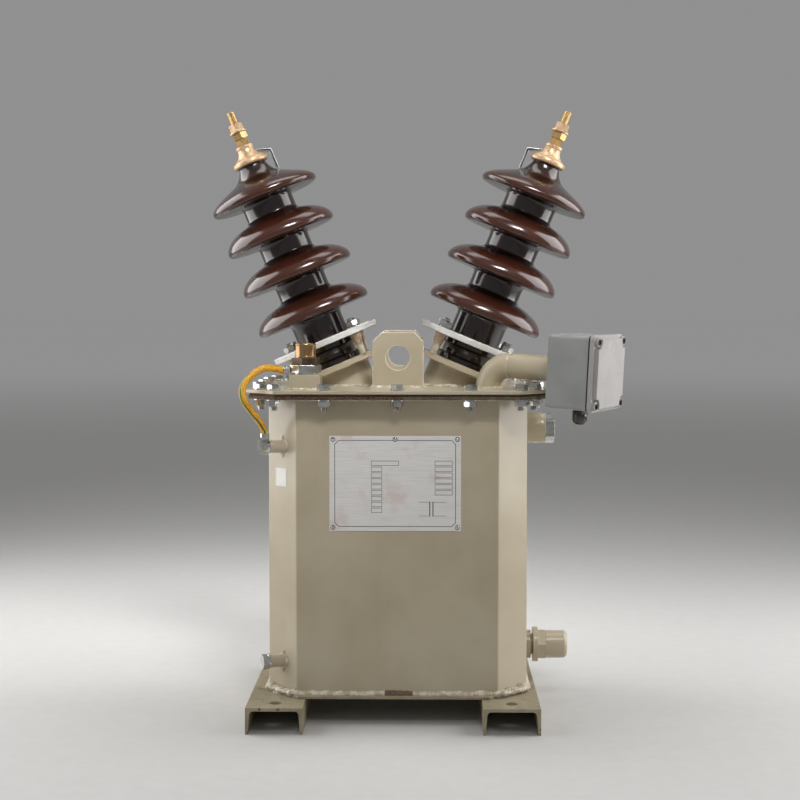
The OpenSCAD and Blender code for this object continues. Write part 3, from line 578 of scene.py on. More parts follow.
def spaced(points, step, loop):
    """Points a step apart along straight legs."""
    path = []
    ends = points[1:] + (points[:1] if loop else [])
    for a, b in zip(points, ends):
        count = max(1, round((b - a).length / step))
        path += [a.lerp(b, i / count) for i in range(count)]
    return path if loop else path + [points[-1]]


def smooth_path(points, per_leg):
    """Points along a smooth curve through the given ones."""
    ends = [2 * points[0] - points[1], *points, 2 * points[-1] - points[-2]]
    path = []
    for a, b, c, d in zip(ends, ends[1:], ends[2:], ends[3:]):
        for i in range(per_leg):
            t = i / per_leg
            path.append(b + (c - a) * t / 2 + (a - 2.5 * b + 2 * c - d / 2) * t ** 2
                        + (1.5 * b - a / 2 - 1.5 * c + d / 2) * t ** 3)
    return path + [points[-1]]


def octagon(x, y, leg, z):
    """Corners of an octagon given by its half width, half depth and chamfer leg."""
    flat = [(x - leg, -y), (x, leg - y), (x, y - leg), (x - leg, y),
            (leg - x, y), (-x, y - leg), (-x, leg - y), (leg - x, -y)]
    return [Vector((px, py, z)) for px, py in flat]


def add_stroke(bm, a, b, width, place, height):
    """Straight raised line between two points of a place's plane."""
    a, b = Vector(a), Vector(b)
    along = (b - a).normalized() * width / 2
    side = Vector((-along.y, along.x))
    flat = [a - along - side, b + along - side, b + along + side, a - along + side]
    add_slab(bm, flat, place, height)


def add_frame(bm, points, width, place, height):
    """Closed line through points of a place's plane."""
    for a, b in zip(points, points[1:] + points[:1]):
        add_stroke(bm, a, b, width, place, height)


CHIP_STEPS = 18
CHIP_SWELL = (0.78, 1.12)
# Size of a chip's top as a share of its outline
CHIP_TOP = 0.86


def add_chip(bm, place, rx, ry, height=0.15):
    """Small patch with a ragged outline on a place's plane."""
    low, high = [], []
    for k in range(CHIP_STEPS):
        a = math.tau * k / CHIP_STEPS
        swell = rng.uniform(*CHIP_SWELL)
        spot = Vector((rx * swell * math.cos(a), ry * swell * math.sin(a), 0))
        low.append(place @ spot)
        high.append(place @ (spot * CHIP_TOP + Vector((0, 0, height))))
    add_rings(bm, [low, high])


def mesh_of(name, bm):
    """Mesh from its editable form, which is freed."""
    mesh = bpy.data.meshes.new(name)
    bm.to_mesh(mesh)
    bm.free()
    return mesh


def placed(name, data):
    """New object in the scene."""
    made = bpy.data.objects.new(name, data)
    bpy.context.scene.collection.objects.link(made)
    return made


# Angles in degrees from which edges are shaded sharp
SHARP = 38
METAL_SHARP = 28
GLAZE_SHARP = 32
SEAL_SHARP = 50
CORK_SHARP = 60
WELD_SHARP = 70


def shown(name, mesh, slot, *finishes, sharp=SHARP):
    """Object that rides with the part, with the finish of a slot of the record unless others are given."""
    for finish in finishes or [FINISH[slot]]:
        mesh.materials.append(finish)
    for face in mesh.polygons:
        face.use_smooth = True
    mesh.set_sharp_from_angle(angle=math.radians(sharp))
    made = placed(name, mesh)
    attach(made, ROOT)
    return made


def piece(name, bm, slot, *finishes, sharp=SHARP):
    """Finished object from a mesh in millimetres."""
    bmesh.ops.scale(bm, vec=(MM, MM, MM), verts=bm.verts)
    bmesh.ops.recalc_face_normals(bm, faces=bm.faces)
    return shown(name, mesh_of(name, bm), slot, *finishes, sharp=sharp)


# The frame's own nodes

# Gap in metres that joins points, and angles that make a face flat or an edge sharp
JOIN_GAP = 2e-6
FLAT_ANGLE = math.radians(0.6)
SHARP_ANGLE = math.radians(35)


def joined_mesh(node):
    """Copy of a CAD node's mesh with its faces joined up and its flat faces whole."""
    bm = bmesh.new()
    bm.from_mesh(frame["nodes"][node].data)
    bmesh.ops.remove_doubles(bm, verts=bm.verts, dist=JOIN_GAP)
    bmesh.ops.dissolve_limit(bm, angle_limit=FLAT_ANGLE, verts=bm.verts, edges=bm.edges)
    mesh = mesh_of(node, bm)
    mesh.materials.clear()
    return mesh


def mark_points(mesh, name, value_of):
    """Give each point of a mesh a named value, from its place in millimetres."""
    marks = mesh.attributes.new(name, "FLOAT", "POINT")
    for v in mesh.vertices:
        marks.data[v.index].value = value_of(v.co / MM)


# Edge break of each node that is dressed
EDGES = {
    "tank_shell": 2.2, "lid": 0.8,
    "left_turret": 0.5, "right_turret": 0.5, "left_turret_flange": 1.0, "right_turret_flange": 1.0,
    "left_clamp_ring": 1.4, "right_clamp_ring": 1.4,
    "left_terminal_cap": 0.5, "right_terminal_cap": 0.5, "terminal_nuts": 0.6,
    "filler_block": 1.2, "filler_collar": 1.0, "filler_nut": 1.0,
    "conduit_elbow": 0.5, "conduit_locknut": 0.8, "cable_gland": 0.6,
    "sight_glass_boss": 1.0, "sight_glass_bezel": 1.0, "sight_glass": 0.3,
    "drain_boss": 1.0, "drain_valve": 1.2, "drain_cap": 0.8,
    "earth_bosses": 0.8, "earth_bolts": 0.6, "jumper_lugs": 0.4, "nameplate": 0.3,
    "left_foot": 1.0, "right_foot": 1.0, "tank_base": 0.8,
    "front_lifting_lug": 1.6, "rear_lifting_lug": 1.6, "tank_flange": 0.6,
    "cap_clips": 0.9, "filler_plug": 0.5, "terminal_box": 1.6, "terminal_box_lid": 1.0,
}
POST_EDGE = 0.4
EDGE_SEGMENTS = 2
ROUND_SEGMENTS = 3
ROUND_NODES = ("terminal_box", "terminal_box_lid")
# Finishes that differ from those of the nodes' slots, and finishes of broken edges: on the lugs worn paint
# that is also a painted highlight, on the clips a painted highlight
OWN_FINISH = {
    "tank_base": FOOT_PAINT, "tank_flange": FLANGE_PAINT_AND_SHADE, "cap_clips": CLIP_DARK_REFLECTION, "filler_plug": PLUG_BRASS,
    **{name + "_foot": FOOT_PAINT for name in SIDES},
    **{name + "_clamp_posts": POST_ALLOY for name in SIDES},
}
EDGE_HIGHLIGHT_AND_WEAR = {"cap_clips": CLIP_EDGE_HIGHLIGHT, **{lug: EDGE_WEAR_AND_HIGHLIGHT for lug in LUGS}}


def dress(node, edge, marks=None):
    """Copy of a CAD node with its edges broken, which stands for the node."""
    slot = SLOT_OF[node]
    finishes = [OWN_FINISH.get(node, FINISH[slot])]
    if node in EDGE_HIGHLIGHT_AND_WEAR:
        finishes.append(EDGE_HIGHLIGHT_AND_WEAR[node])
    mesh = joined_mesh(node)
    if marks:
        mark_points(mesh, *marks)
    made = shown(node + "_dressed", mesh, slot, *finishes)
    bevel = made.modifiers.new("edges", "BEVEL")
    bevel.width = edge * MM
    bevel.segments = ROUND_SEGMENTS if node in ROUND_NODES else EDGE_SEGMENTS
    bevel.limit_method = "ANGLE"
    bevel.angle_limit = SHARP_ANGLE
    bevel.harden_normals = True
    bevel.material = 1 if node in EDGE_HIGHLIGHT_AND_WEAR else -1
    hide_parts(node)


def dressed_posts(name):
    """Clamp posts with a mark of how high each point lies on its post."""
    node = name + "_clamp_posts"
    low, high = reach(node, BUSHINGS[name])
    home = BUSHINGS[name].inverted()
    dress(node, POST_EDGE, marks=("head", lambda p: ((home @ p).z - low.z) / (high.z - low.z)))


def glazed_bushing(name):
    """Porcelain with a mark of how near each point lies to a shed's rim."""
    node = name + "_bushing"
    mesh = joined_mesh(node)
    home = BUSHINGS[name].inverted()
    rim_r = max((home @ (v.co / MM)).xy.length for v in mesh.vertices)
    mark_points(mesh, "rim", lambda p: (home @ p).xy.length / rim_r)
    made = shown(node + "_glazed", mesh, SLOT_OF[node], sharp=GLAZE_SHARP)
    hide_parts(node)


for node, edge in EDGES.items():
    dress(node, edge)
for name in SIDES:
    dressed_posts(name)
    glazed_bushing(name)


# Fasteners

BOLT_AF = 17
BOLT_HEAD = 6.4
BOLT_NUT = 8
BOLT_R = 5
BOLT_PITCH = 1.5
BOLT_TIP = 6
WASHER_R = 10.2
WASHER_T = 2
WASHER_EDGE = 0.3
WASHER = [(WASHER_R - WASHER_EDGE, 0), (WASHER_R, WASHER_EDGE),
          (WASHER_R, WASHER_T - WASHER_EDGE), (WASHER_R - WASHER_EDGE, WASHER_T)]
# Distance from the lid's edge, places along its sides, and half the step of a chamfer's pair
BOLT_INSET = 14.5
BOLT_ROW = (-103, 0, 103)
BOLT_SIDE_ROW = (-78, 0, 78)
BOLT_CORNER_HALF = 14


def raised(place, z):
    """The same place, moved along its own axis."""
    return place @ Matrix.Translation((0, 0, z))


def turned(place):
    """The same place, turned about its own axis by a random amount."""
    return place @ Matrix.Rotation(rng.uniform(0, math.tau), 4, "Z")


def add_nut(bm, place, tip):
    """Washer, nut and the end of the thread."""
    add_lathe(bm, WASHER, place)
    above = raised(place, WASHER_T)
    add_hex(bm, BOLT_AF, BOLT_NUT, turned(above))
    add_thread(bm, BOLT_R, tip, BOLT_PITCH, raised(above, BOLT_NUT))


def lid_bolt_spots():
    """Places of the bolts: a row along each side of the lid and a pair on each chamfer."""
    x = LID_EDGE.x - BOLT_INSET
    y = LID_EDGE.y - BOLT_INSET
    spots = [(px, side * y) for side in (-1, 1) for px in BOLT_ROW]
    spots += [(side * x, py) for side in (-1, 1) for py in BOLT_SIDE_ROW]
    middle = LID_LEG / 2 + BOLT_INSET / math.sqrt(2)
    along = BOLT_CORNER_HALF / math.sqrt(2)
    for sx, sy in CORNERS:
        for step in (-along, along):
            spots.append((sx * (LID_EDGE.x - middle + step), sy * (LID_EDGE.y - middle - step)))
    return spots


def lid_bolts():
    """Bolt heads on the lid, with their nuts under the flange."""
    bm = bmesh.new()
    for x, y in lid_bolt_spots():
        top = Matrix.Translation((x, y, LID_TOP))
        add_lathe(bm, WASHER, top)
        add_hex(bm, BOLT_AF, BOLT_HEAD, turned(raised(top, WASHER_T)), both=False)
        add_nut(bm, Matrix.Translation((x, y, FLANGE_LOW)) @ FLIP, BOLT_TIP)
    piece("lid_bolts", bm, "zinc", sharp=METAL_SHARP)


CLAMP_CIRCLE_R = 68.5
CLAMP_TURNS = [math.radians(45 + 90 * k) for k in range(4)]
CLAMP_TIP = 4


def clamp_nuts():
    """Nuts on the clamp rings, one above each post."""
    bm = bmesh.new()
    for name, place in BUSHINGS.items():
        top = reach(name + "_clamp_ring", place)[1].z
        for a in CLAMP_TURNS:
            spot = (CLAMP_CIRCLE_R * math.cos(a), CLAMP_CIRCLE_R * math.sin(a), top)
            add_nut(bm, place @ Matrix.Translation(spot), CLAMP_TIP)
    piece("clamp_nuts", bm, "zinc", sharp=METAL_SHARP)


lid_bolts()
clamp_nuts()


# Threaded terminal studs

STUD_PITCH = 1.75
# Depth of the thread as a share of its pitch
STUD_DEPTH = 0.25
STUD_LOW_AF = 18
STUD_HIGH_AF = 20
STUD_HEX_TURN = 0.25
# How far the thread reaches down into the nut
STUD_SINK = 1


def terminal_stud(name, place):
    """Hexagons on the cap and a thread above the nut, which stand for the plain stud."""
    node = name + "_terminal_stud"
    top = reach(node, place)[1].z
    cap_top = reach(name + "_terminal_cap", place)[1].z
    nut_low, nut_high = reach("terminal_nuts", place, SIDES[name])
    hex_h = (nut_low.z - cap_top) / 2
    bm = bmesh.new()
    add_hex(bm, STUD_LOW_AF, hex_h, raised(place, cap_top))
    upper = raised(place, cap_top + hex_h) @ Matrix.Rotation(STUD_HEX_TURN, 4, "Z")
    add_hex(bm, STUD_HIGH_AF, hex_h, upper)
    start = nut_high.z - STUD_SINK
    thread_r = reach_r(node, place, nut_high.z)
    add_thread(bm, thread_r, top - start, STUD_PITCH, raised(place, start), STUD_DEPTH)
    made = piece(node + "_threaded", bm, "brass", STUD_BRASS, sharp=METAL_SHARP)
    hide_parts(node)


for name, place in BUSHINGS.items():
    terminal_stud(name, place)


# Welds

BEAD_PITCH = 4.2
BEAD_STEP = 1.05
BEAD_SIDES = 8
# Share of a bead's swell left a step later, and how an open bead grows from its ends
BEAD_MEMORY = 0.85
BEAD_START = 0.35
BEAD_GROWTH = 0.2
# Radii of the beads
FILLET_R = 5.8
MOUTH_BEAD_R = 2.4
PLATE_BEAD_R = 3.6
LUG_BEAD_R = 3.4
FILLER_BEAD_R = 3.0
TURRET_BEAD_R = 3.2
RIM_BEAD_R = 2.2
CONDUIT_BEAD_R = 3.0
SEAM_BEAD_R = 1.1
BOSS_BEAD_R = 2.6
EARTH_BEAD_R = 2.2
# Strands along each lower chamfer: how far out of it each lies, and its radius
CHAMFER_BEADS = {1.0: 5.2, 7.0: 3.8}
CHAMFER_BEAD_LIFT = 2
PLATE_BEAD_HALF = 9
PLATE_BEAD_LIFT = 1.5
BARE_STRETCH = (-18, 22)


def add_bead(bm, points, r, up, loop=True, rough=0.06, ripple=0.12):
    """Rippled weld bead along a line of points."""
    path = spaced(points, BEAD_STEP, loop)
    swell = 0.0
    radii = []
    for i, _ in enumerate(path):
        swell = BEAD_MEMORY * swell + rng.uniform(-rough, rough)
        from_end = min(i, len(path) - 1 - i)
        grown = 1 if loop else min(1, BEAD_START + BEAD_GROWTH * from_end)
        radii.append(r * grown * (1 + swell + ripple * math.cos(math.tau * i * BEAD_STEP / BEAD_PITCH)))
    add_tube(bm, path, radii, BEAD_SIDES, up, loop)


def ring_points(place, r, steps=48, z=0, wide=1):
    """Points of a ring in a place, stretched along its X by a factor."""
    return [place @ Vector((p.x * wide, p.y, p.z)) for p in circle(r, z, steps)]


TURRET_STEPS = 72


def lid_cut(place, r):
    """Where a tube along a leaning axis meets the lid."""
    axis = place.to_3x3() @ UP
    return [p - axis * ((p.z - LID_TOP) / axis.z) for p in ring_points(place, r, TURRET_STEPS)]


def tank_welds():
    """Fillets round the shell's foot and mouth, with two rough strands along each lower chamfer.

    A short stretch of the front fillet has lost its paint.
    """
    bm = bmesh.new()
    foot, mouth = (octagon(TANK_HIGH.x, TANK_HIGH.y, TANK_LEG, z) for z in (TANK_LOW.z, TANK_HIGH.z))
    add_bead(bm, foot, FILLET_R, UP, ripple=0.04)
    for face in bm.faces:
        middle = face.calc_center_median()
        if middle.y < 0 and BARE_STRETCH[0] < middle.x < BARE_STRETCH[1]:
            face.material_index = 1
    add_bead(bm, mouth, MOUTH_BEAD_R, UP)
    z = TANK_LOW.z + CHAMFER_BEAD_LIFT
    for sx, sy in CORNERS:
        for out, r in CHAMFER_BEADS.items():
            step = out / math.sqrt(2)
            a = Vector((sx * (TANK_HIGH.x - TANK_LEG + step), sy * (TANK_HIGH.y + step), z))
            b = Vector((sx * (TANK_HIGH.x + step), sy * (TANK_HIGH.y - TANK_LEG + step), z))
            add_bead(bm, [a, b], r, UP, loop=False, rough=0.24, ripple=0.08)
    piece("tank_welds", bm, "tank_paint", WELD_PAINT, PRIMER, sharp=WELD_SHARP)


def foot_welds():
    """One short rough bead where each chamfer of the base plate lies on a foot."""
    bm = bmesh.new()
    half = (BASE_HIGH - BASE_LOW) / 2
    middle = (BASE_HIGH + BASE_LOW) / 2
    x = half.x - BASE_LEG / 2
    y = half.y - BASE_LEG / 2
    for sx, sy in CORNERS:
        spot = Vector((middle.x + sx * x, sy * y, BASE_LOW.z + PLATE_BEAD_LIFT))
        along = Vector((sx, -sy, 0)).normalized() * PLATE_BEAD_HALF
        add_bead(bm, [spot - along, spot + along], PLATE_BEAD_R, UP, loop=False, rough=0.2, ripple=0.2)
    piece("foot_welds", bm, "tank_paint", WELD_PAINT, sharp=WELD_SHARP)


def foot_ring(node):
    """Corners of a node's outline on the lid."""
    return [Vector((x, y, LID_TOP)) for x, y in rectangle(*span(node))]


def lid_welds():
    """Beads round what stands on the lid, and a seam where the conduit's bend ends."""
    bm = bmesh.new()
    for lug in LUGS:
        add_bead(bm, foot_ring(lug), LUG_BEAD_R, UP)
    add_bead(bm, foot_ring("filler_block"), FILLER_BEAD_R, UP, rough=0.14, ripple=0.18)
    for name, place in BUSHINGS.items():
        r = reach(name + "_turret", place)[1].y
        flange_low = reach(name + "_turret_flange", place)[0].z
        add_bead(bm, lid_cut(place, r), TURRET_BEAD_R, UP)
        rim = [p for p in ring_points(place, r, TURRET_STEPS, flange_low) if p.z > LID_TOP]
        add_bead(bm, rim, RIM_BEAD_R, place.to_3x3() @ UP)
    add_bead(bm, ring_points(Matrix.Translation(CONDUIT_FOOT), CONDUIT_R), CONDUIT_BEAD_R, UP)
    along = RUN_PLACE.to_3x3() @ RIGHT
    add_bead(bm, ring_points(RUN_PLACE @ ALONG_X, CONDUIT_R), SEAM_BEAD_R, along)
    piece("lid_welds", bm, "tank_paint", WELD_PAINT, sharp=WELD_SHARP)


EARTH_BOSS_R = 9
EARTH_STEPS = 32
# Angle between an earth boss and the chamfer that it stands on
EARTH_LEAN = math.radians(23)
# Spatter: distance from the boss's middle and radius of each point, its slant and its lift
SPIKE = [(8, 2.6), (11, 2.2), (14, 1.4), (16, 0.5)]
SPIKE_SLANT = 0.12
SPIKE_LIFT = 0.4


def wall_welds():
    """Rings round the bosses on the tank's walls, with spatter at the earth bosses."""
    bm = bmesh.new()
    for node in ("sight_glass_boss", "drain_boss"):
        low, high = span(node)
        middle = (low + high) / 2
        place = Matrix.Translation((low.x, middle.y, middle.z)) @ ALONG_X
        add_bead(bm, ring_points(place, (high.z - low.z) / 2), BOSS_BEAD_R, RIGHT)
    low, high = span("earth_bosses")
    for z in (low.z + EARTH_BOSS_R, high.z - EARTH_BOSS_R):
        place = chamfer_place(z)
        facing = place.to_3x3() @ UP
        ring = ring_points(place, EARTH_BOSS_R, EARTH_STEPS, wide=1 / math.cos(EARTH_LEAN))
        add_bead(bm, ring, EARTH_BEAD_R, facing, rough=0.12, ripple=0.2)
        for side in (-1, 1):
            path = [place @ Vector((SPIKE_SLANT * h, side * h, SPIKE_LIFT)) for h, _ in SPIKE]
            add_tube(bm, path, [r for _, r in SPIKE], BEAD_SIDES, facing)
    piece("wall_welds", bm, "tank_paint", WELD_PAINT, sharp=WELD_SHARP)


tank_welds()
foot_welds()
lid_welds()
wall_welds()


# Gasket with a ragged edge

GASKET_STEP = 2.0
GASKET_DEPTH = 20
# Wander of the edge at each step, the share of it left a step later, and the bulge
GASKET_WANDER = 0.7
GASKET_MEMORY = 0.8
GASKET_BULGE = (0.2, 0.9)


def ragged_gasket():
    """Gasket whose edge wanders and bulges, which stands for the plain one."""
    low, high = span("lid_gasket")
    leg = LID_LEG - GASKET_INSET * LEG_LOSS
    outline = octagon(high.x, high.y, leg, 0)
    opening = octagon(high.x - GASKET_DEPTH, high.y - GASKET_DEPTH, leg - GASKET_DEPTH * LEG_LOSS, 0)
    outer = spaced(outline, GASKET_STEP, True)
    inner = spaced(opening, GASKET_STEP, True)
    bm = bmesh.new()
    drift = 0.0
    rings = []
    for i, p in enumerate(outer):
        drift = GASKET_MEMORY * drift + rng.uniform(-GASKET_WANDER, GASKET_WANDER)
        out = Vector((p.x, p.y, 0)).normalized()
        q = inner[i * len(inner) // len(outer)]
        edge = p + out * drift
        belly = p + out * (drift + rng.uniform(*GASKET_BULGE))
        section = ((q, low.z), (edge, low.z), (belly, (low.z + high.z) / 2), (edge, high.z), (q, high.z))
        rings.append([Vector((flat.x, flat.y, z)) for flat, z in section])
    add_rings(bm, rings, loop=True)
    made = piece("lid_gasket_ragged", bm, "cork", sharp=CORK_SHARP)
    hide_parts("lid_gasket")


ragged_gasket()


# Earth jumper

JUMPER_ROUTE = [
    (-162, -118, 502), (-166, -118, 502), (-172, -120, 503.5), (-180, -125, 505),
    (-189, -131, 505), (-198, -137, 501), (-206, -142, 495), (-214, -146, 486),
    (-218, -149, 476), (-217, -151, 466), (-213, -150, 456), (-206, -147, 446),
    (-199, -142, 436), (-193.5, -136, 427), (-190, -130, 419), (-189, -128.4, 413)]
JUMPER_D = 10
JUMPER_SIDES = 24
JUMPER_LEG_STEPS = 5
# Direction that the jumper never follows
JUMPER_ACROSS = Vector((1, -1, 0))
STRIPE_SIDES = 2
STRIPE_START = 20
# Rings of the cable for each side by which the stripe winds round it
STRIPE_TWIST = 10


def earth_jumper():
    """Amber cable with a green stripe along it."""
    path = smooth_path([Vector(p) for p in JUMPER_ROUTE], JUMPER_LEG_STEPS)
    bm = bmesh.new()
    add_tube(bm, path, [JUMPER_D / 2] * len(path), JUMPER_SIDES, JUMPER_ACROSS)
    bm.faces.ensure_lookup_table()
    for index, face in enumerate(bm.faces):
        ring, side = divmod(index, JUMPER_SIDES)
        wound = (side - ring // STRIPE_TWIST - STRIPE_START) % JUMPER_SIDES
        if len(face.verts) == 4 and wound < STRIPE_SIDES:
            face.material_index = 1
    made = piece("earth_jumper_cable", bm, "cable_sheath", FINISH["cable_sheath"], GREEN_STRIPE)
    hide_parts("earth_jumper")


earth_jumper()


# Rating plate, tag, box trim and chips

# Print on the rating plate, measured from the plate's top left corner
PRINT_LIFT = 0.12
BORDER_INSET = (7.6, 6.4)
BORDER_CUT = 5.5
BORDER_LINE = 0.9
FIELD_LINE = 0.6
FIELD_H = 6.4
FIELD_TOP = 38.8
FIELD_PITCH = 8.35
# Columns of field boxes: start, end and rows; the first box of all is longer
FIELD_COLUMNS = {"left": (59.4, 74.2, 9), "right": (149.4, 173.8, 6)}
FIRST_FIELD_END = 97.8
SYMBOL_BARS = (142, 146.5)
SYMBOL_WIRE = (127, 165)
SYMBOL_HEIGHTS = (94, 113.5)
SYMBOL_BAR_LINE = 1.4
SYMBOL_WIRE_LINE = 0.5
RIVET_INSET = 5
RIVET_STEPS = 20
RIVET = [(2.7, 0), (2.7, 0.5), (2.2, 1.1), (1.2, 1.5), (0.3, 1.6)]
# Dark ring round each rivet's foot: painted shade where the rivet meets the plate
RIVET_SHADE_RING = [(3.5, 0), (3.5, PRINT_LIFT)]


def plate_trim():
    """Border, blank field boxes and winding symbol on the rating plate, without any lettering."""
    low, high = span("nameplate")
    wide, tall = high.x - low.x, high.z - low.z
    place = Matrix.Translation((low.x, low.y, high.z)) @ FACE_FRONT
    bm = bmesh.new()
    x, y = BORDER_INSET
    c = BORDER_CUT
    border = [(x + c, -y), (wide - x - c, -y), (wide - x, -y - c), (wide - x, y + c - tall),
              (wide - x - c, y - tall), (x + c, y - tall), (x, y + c - tall), (x, -y - c)]
    add_frame(bm, border, BORDER_LINE, place, PRINT_LIFT)
    for column, (start, end, rows) in FIELD_COLUMNS.items():
        for row in range(rows):
            stop = FIRST_FIELD_END if column == "left" and row == 0 else end
            top = -(FIELD_TOP - FIELD_H / 2 + row * FIELD_PITCH)
            field = rectangle((start, top), (stop, top - FIELD_H))
            add_frame(bm, field, FIELD_LINE, place, PRINT_LIFT)
    upper, lower = SYMBOL_HEIGHTS
    for bar in SYMBOL_BARS:
        add_stroke(bm, (bar, -upper), (bar, -lower), SYMBOL_BAR_LINE, place, PRINT_LIFT)
    for level in SYMBOL_HEIGHTS:
        for start, end in ((SYMBOL_WIRE[0], SYMBOL_BARS[0]), (SYMBOL_BARS[1], SYMBOL_WIRE[1])):
            add_stroke(bm, (start, -level), (end, -level), SYMBOL_WIRE_LINE, place, PRINT_LIFT)
    rivets = bmesh.new()
    near, far = RIVET_INSET, wide - RIVET_INSET
    top_row = [(near, -near), (wide / 2, -near), (far, -near)]
    low_row = [(near, near - tall), (far, near - tall)]
    for spot in top_row + low_row:
        at = place @ Matrix.Translation((*spot, 0))
        add_lathe(rivets, RIVET, at, RIVET_STEPS)
        # Dark ring in the print's finish round the rivet's foot, as painted shade
        add_lathe(bm, RIVET_SHADE_RING, at, RIVET_STEPS)
    piece("plate_print_and_rivet_shade", bm, "plate_metal", PRINT_AND_RIVET_SHADE)
    piece("plate_rivets", rivets, "zinc")


TAG_SIZE = (23, 26, 0.4)
TAG_Z = 348.7
TAG_SHIFT = -2.7
TAG_EDGE = 1.4
TAG_LINE = 0.5


def blank_tag():
    """Paper tag on the left front chamfer, with a raised line round it."""
    bm = bmesh.new()
    place = chamfer_place(TAG_Z)
    wide, tall, thick = TAG_SIZE
    x, y = wide / 2, tall / 2
    add_slab(bm, rectangle((TAG_SHIFT - x, -y), (TAG_SHIFT + x, y)), place, thick)
    x, y = x - TAG_EDGE, y - TAG_EDGE
    line = rectangle((TAG_SHIFT - x, -y), (TAG_SHIFT + x, y))
    add_frame(bm, line, TAG_LINE, place, thick + PRINT_LIFT)
    piece("blank_tag", bm, "box_lid_paint", TAG)


SCREW_INSET = 9
SCREW_SINK = 1.4
SCREW = [(4.6, -0.4), (4.6, 0.9), (4.1, 1.3), (2.5, 1.3), (2.3, 0.2), (0.3, 0.2)]
SCREW_STEPS = 24
SEAL_T = 2.4
# How far the seal stands out of the box's sides, and how far it reaches in
SEAL_LIFT = 0.7
SEAL_SINK = 1
SEAL_CORNER_R = 6


def rounded_corners(half_y, half_z, r, steps=8):
    """Outline of a rectangle with round corners, in a place's YZ plane."""
    outline = []
    for k, (sy, sz) in enumerate(((1, 1), (-1, 1), (-1, -1), (1, -1))):
        for i in range(steps + 1):
            a = math.pi / 2 * (k + i / steps)
            outline.append((sy * (half_y - r) + r * math.cos(a), sz * (half_z - r) + r * math.sin(a)))
    return outline


def box_trim():
    """Screws in the lid's bosses and the dark seal between lid and box."""
    low, high = reach("terminal_box_lid", RUN_PLACE)
    bm = bmesh.new()
    for y in (low.y + SCREW_INSET, high.y - SCREW_INSET):
        for z in (low.z + SCREW_INSET, high.z - SCREW_INSET):
            place = RUN_PLACE @ Matrix.Translation((high.x - SCREW_SINK, y, z)) @ ALONG_X
            add_lathe(bm, SCREW, place, SCREW_STEPS)
    piece("box_screws", bm, "dark_nickel")
    low, high = reach("terminal_box", RUN_PLACE)
    middle = (low + high) / 2
    half = (high - low) / 2
    bm = bmesh.new()
    rings = []
    outer = rounded_corners(half.y + SEAL_LIFT, half.z + SEAL_LIFT, SEAL_CORNER_R + SEAL_LIFT)
    inner = rounded_corners(half.y - SEAL_SINK, half.z - SEAL_SINK, SEAL_CORNER_R - SEAL_SINK)
    back = high.x - SEAL_T
    for (oy, oz), (iy, iz) in zip(outer, inner):
        section = [(back, iy, iz), (back, oy, oz), (high.x, oy, oz), (high.x, iy, iz)]
        rings.append([RUN_PLACE @ Vector((x, middle.y + y, middle.z + z)) for x, y, z in section])
    add_rings(bm, rings, loop=True)
    piece("box_seal", bm, "cork", RUBBER, sharp=SEAL_SHARP)


# Chips on the left foot: their X and half sizes, and how far they lie from the edge
FOOT_CHIPS = {-190: (1.9, 1.5), -164: (2.6, 1.3)}
FOOT_CHIP_INSET = 2
# Chip on the drain's cap: its place, half sizes and height, and the dark spot in it, painted shade of a
# small hole in the cap
CAP_CHIP_X = 226
CAP_CHIP_TURN = math.radians(-51)
CAP_CHIP_SINK = 0.1
CAP_CHIP = (6.2, 2.2, 0.25)
CAP_HOLE_SHADE = (2.0, 0.9)
CAP_HOLE_SHADE_LIFT = 0.2


def chips():
    """Chips on the left foot's front edge, and a chip under the drain's cap with a dark spot in it that is
    painted shade of a small hole.
    """
    dark = bmesh.new()
    low, high = span("left_foot")
    for x, size in FOOT_CHIPS.items():
        add_chip(dark, Matrix.Translation((x, low.y, high.z - FOOT_CHIP_INSET)) @ FACE_FRONT, *size)
        add_chip(dark, Matrix.Translation((x, low.y + FOOT_CHIP_INSET, high.z)), *size)
    low, high = span("drain_cap")
    r = (high.z - low.z) / 2
    out = Vector((0, -math.cos(CAP_CHIP_TURN), math.sin(CAP_CHIP_TURN)))
    spot = Vector((CAP_CHIP_X, 0, (low.z + high.z) / 2)) + out * (r - CAP_CHIP_SINK)
    turn = Matrix((RIGHT, out.cross(RIGHT), out)).transposed().to_4x4()
    pale = bmesh.new()
    add_chip(pale, Matrix.Translation(spot) @ turn, *CAP_CHIP)
    # Dark spot: painted shade of a small hole in the cap
    add_chip(dark, Matrix.Translation(spot + out * CAP_HOLE_SHADE_LIFT) @ turn, *CAP_HOLE_SHADE)
    piece("chips_and_hole_shade", dark, "tank_paint", DARK_CHIP_AND_HOLE_SHADE)
    piece("cap_chip", pale, "tank_paint", CHIP_PALE)


plate_trim()
blank_tag()
box_trim()
chips()


# Stage, light and camera

# Half of the floor's side, and where its tone starts and ends to turn white, in metres
FLOOR_HALF = 60.0
FLOOR_NEAR = 2.0
FLOOR_FAR = 12.0


def floor_finish():
    """Pale floor that turns white far off, where it meets the background."""
    finish = Finish("pale_floor", (205, 204, 202), 0.75)
    tone = finish.mix(finish.noise(40, 4), (200, 199, 197), (209, 208, 206))
    far = finish.band(finish.distance(), FLOOR_NEAR, FLOOR_FAR)
    finish.color(finish.mix(far, tone, (255, 255, 255)))
    finish.bump(finish.noise(300, 3), 0.05, 0.0005)
    return finish.material


def floor():
    """Flat floor under the part."""
    bm = bmesh.new()
    bmesh.ops.create_grid(bm, x_segments=1, y_segments=1, size=FLOOR_HALF)
    mesh = mesh_of("floor", bm)
    mesh.materials.append(floor_finish())
    placed("floor", mesh)


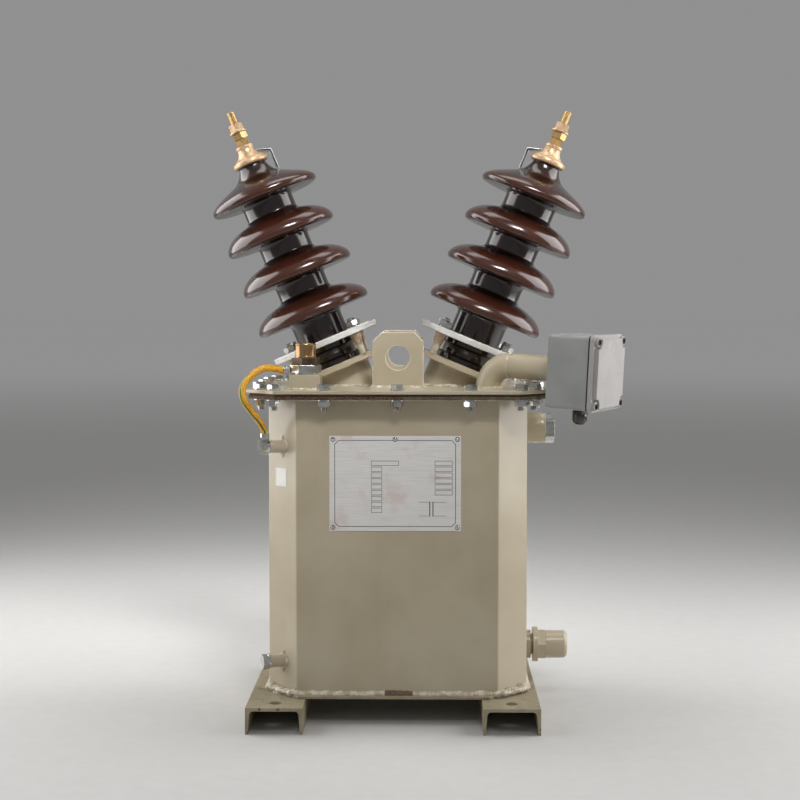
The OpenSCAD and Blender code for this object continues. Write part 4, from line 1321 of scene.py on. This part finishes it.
# Softboxes: place, target and size in metres, watts, and a narrow one's spread in degrees
SOFTBOXES = {
    "left_softbox": ((-1.4, 0.2, 0.95), (0, 0, 0.55), (1.5, 1.7), 24),
    "right_softbox": ((1.4, 0.1, 0.95), (0, 0, 0.55), (1.2, 1.7), 22),
    "overhead_softbox": ((0.25, -1.7, 2.1), (0, -0.1, 0.5), (0.8, 0.4), 5.5),
    "top_softbox": ((0, 0.25, 2.3), (0, 0.05, 0.5), (1.3, 0.7), 7),
    "gridded_softbox": ((0.35, -1.25, 1.95), (0, 0, 0.68), (0.9, 0.3), 1.2, 26),
}
WORLD_STRENGTH = 0.28


def aim(made, spot, direction):
    """Put a light or camera at a spot, facing along a direction."""
    made.location = spot
    made.rotation_euler = direction.to_track_quat("-Z", "Y").to_euler()


def softbox(name, spot, target, size, power, spread=180):
    """Area light at a spot, facing its target."""
    data = bpy.data.lights.new(name, "AREA")
    data.shape = "RECTANGLE"
    data.size, data.size_y = size
    data.energy = power
    data.spread = math.radians(spread)
    aim(placed(name, data), spot, Vector(target) - Vector(spot))


def lights():
    """Softboxes and an even white surround."""
    for name, spec in SOFTBOXES.items():
        softbox(name, *spec)
    world = bpy.data.worlds.new("studio")
    world.use_nodes = True
    ground = world.node_tree.nodes["Background"]
    ground.inputs["Color"].default_value = (1, 1, 1, 1)
    ground.inputs["Strength"].default_value = WORLD_STRENGTH
    bpy.context.scene.world = world


# Camera of the photograph, with its frame shifted: the lens's axis meets a row counted from the top
EYE = (0.0426, -2.445, 0.6031)
SIGHT_LINE = (-0.0168, 1.0, -0.0434)
FOCAL_PX = 1637
AXIS_ROW_PX = 370
PICTURE_PX = 800
SENSOR = 36


def camera():
    """Camera that sees the part as the photograph does."""
    data = bpy.data.cameras.new("camera")
    data.sensor_width = SENSOR
    data.lens = FOCAL_PX / PICTURE_PX * SENSOR
    data.shift_y = AXIS_ROW_PX / PICTURE_PX - 0.5
    made = placed("camera", data)
    aim(made, EYE, Vector(SIGHT_LINE))
    bpy.context.scene.camera = made


floor()
lights()
camera()
bpy.context.scene.view_settings.view_transform = "Standard"
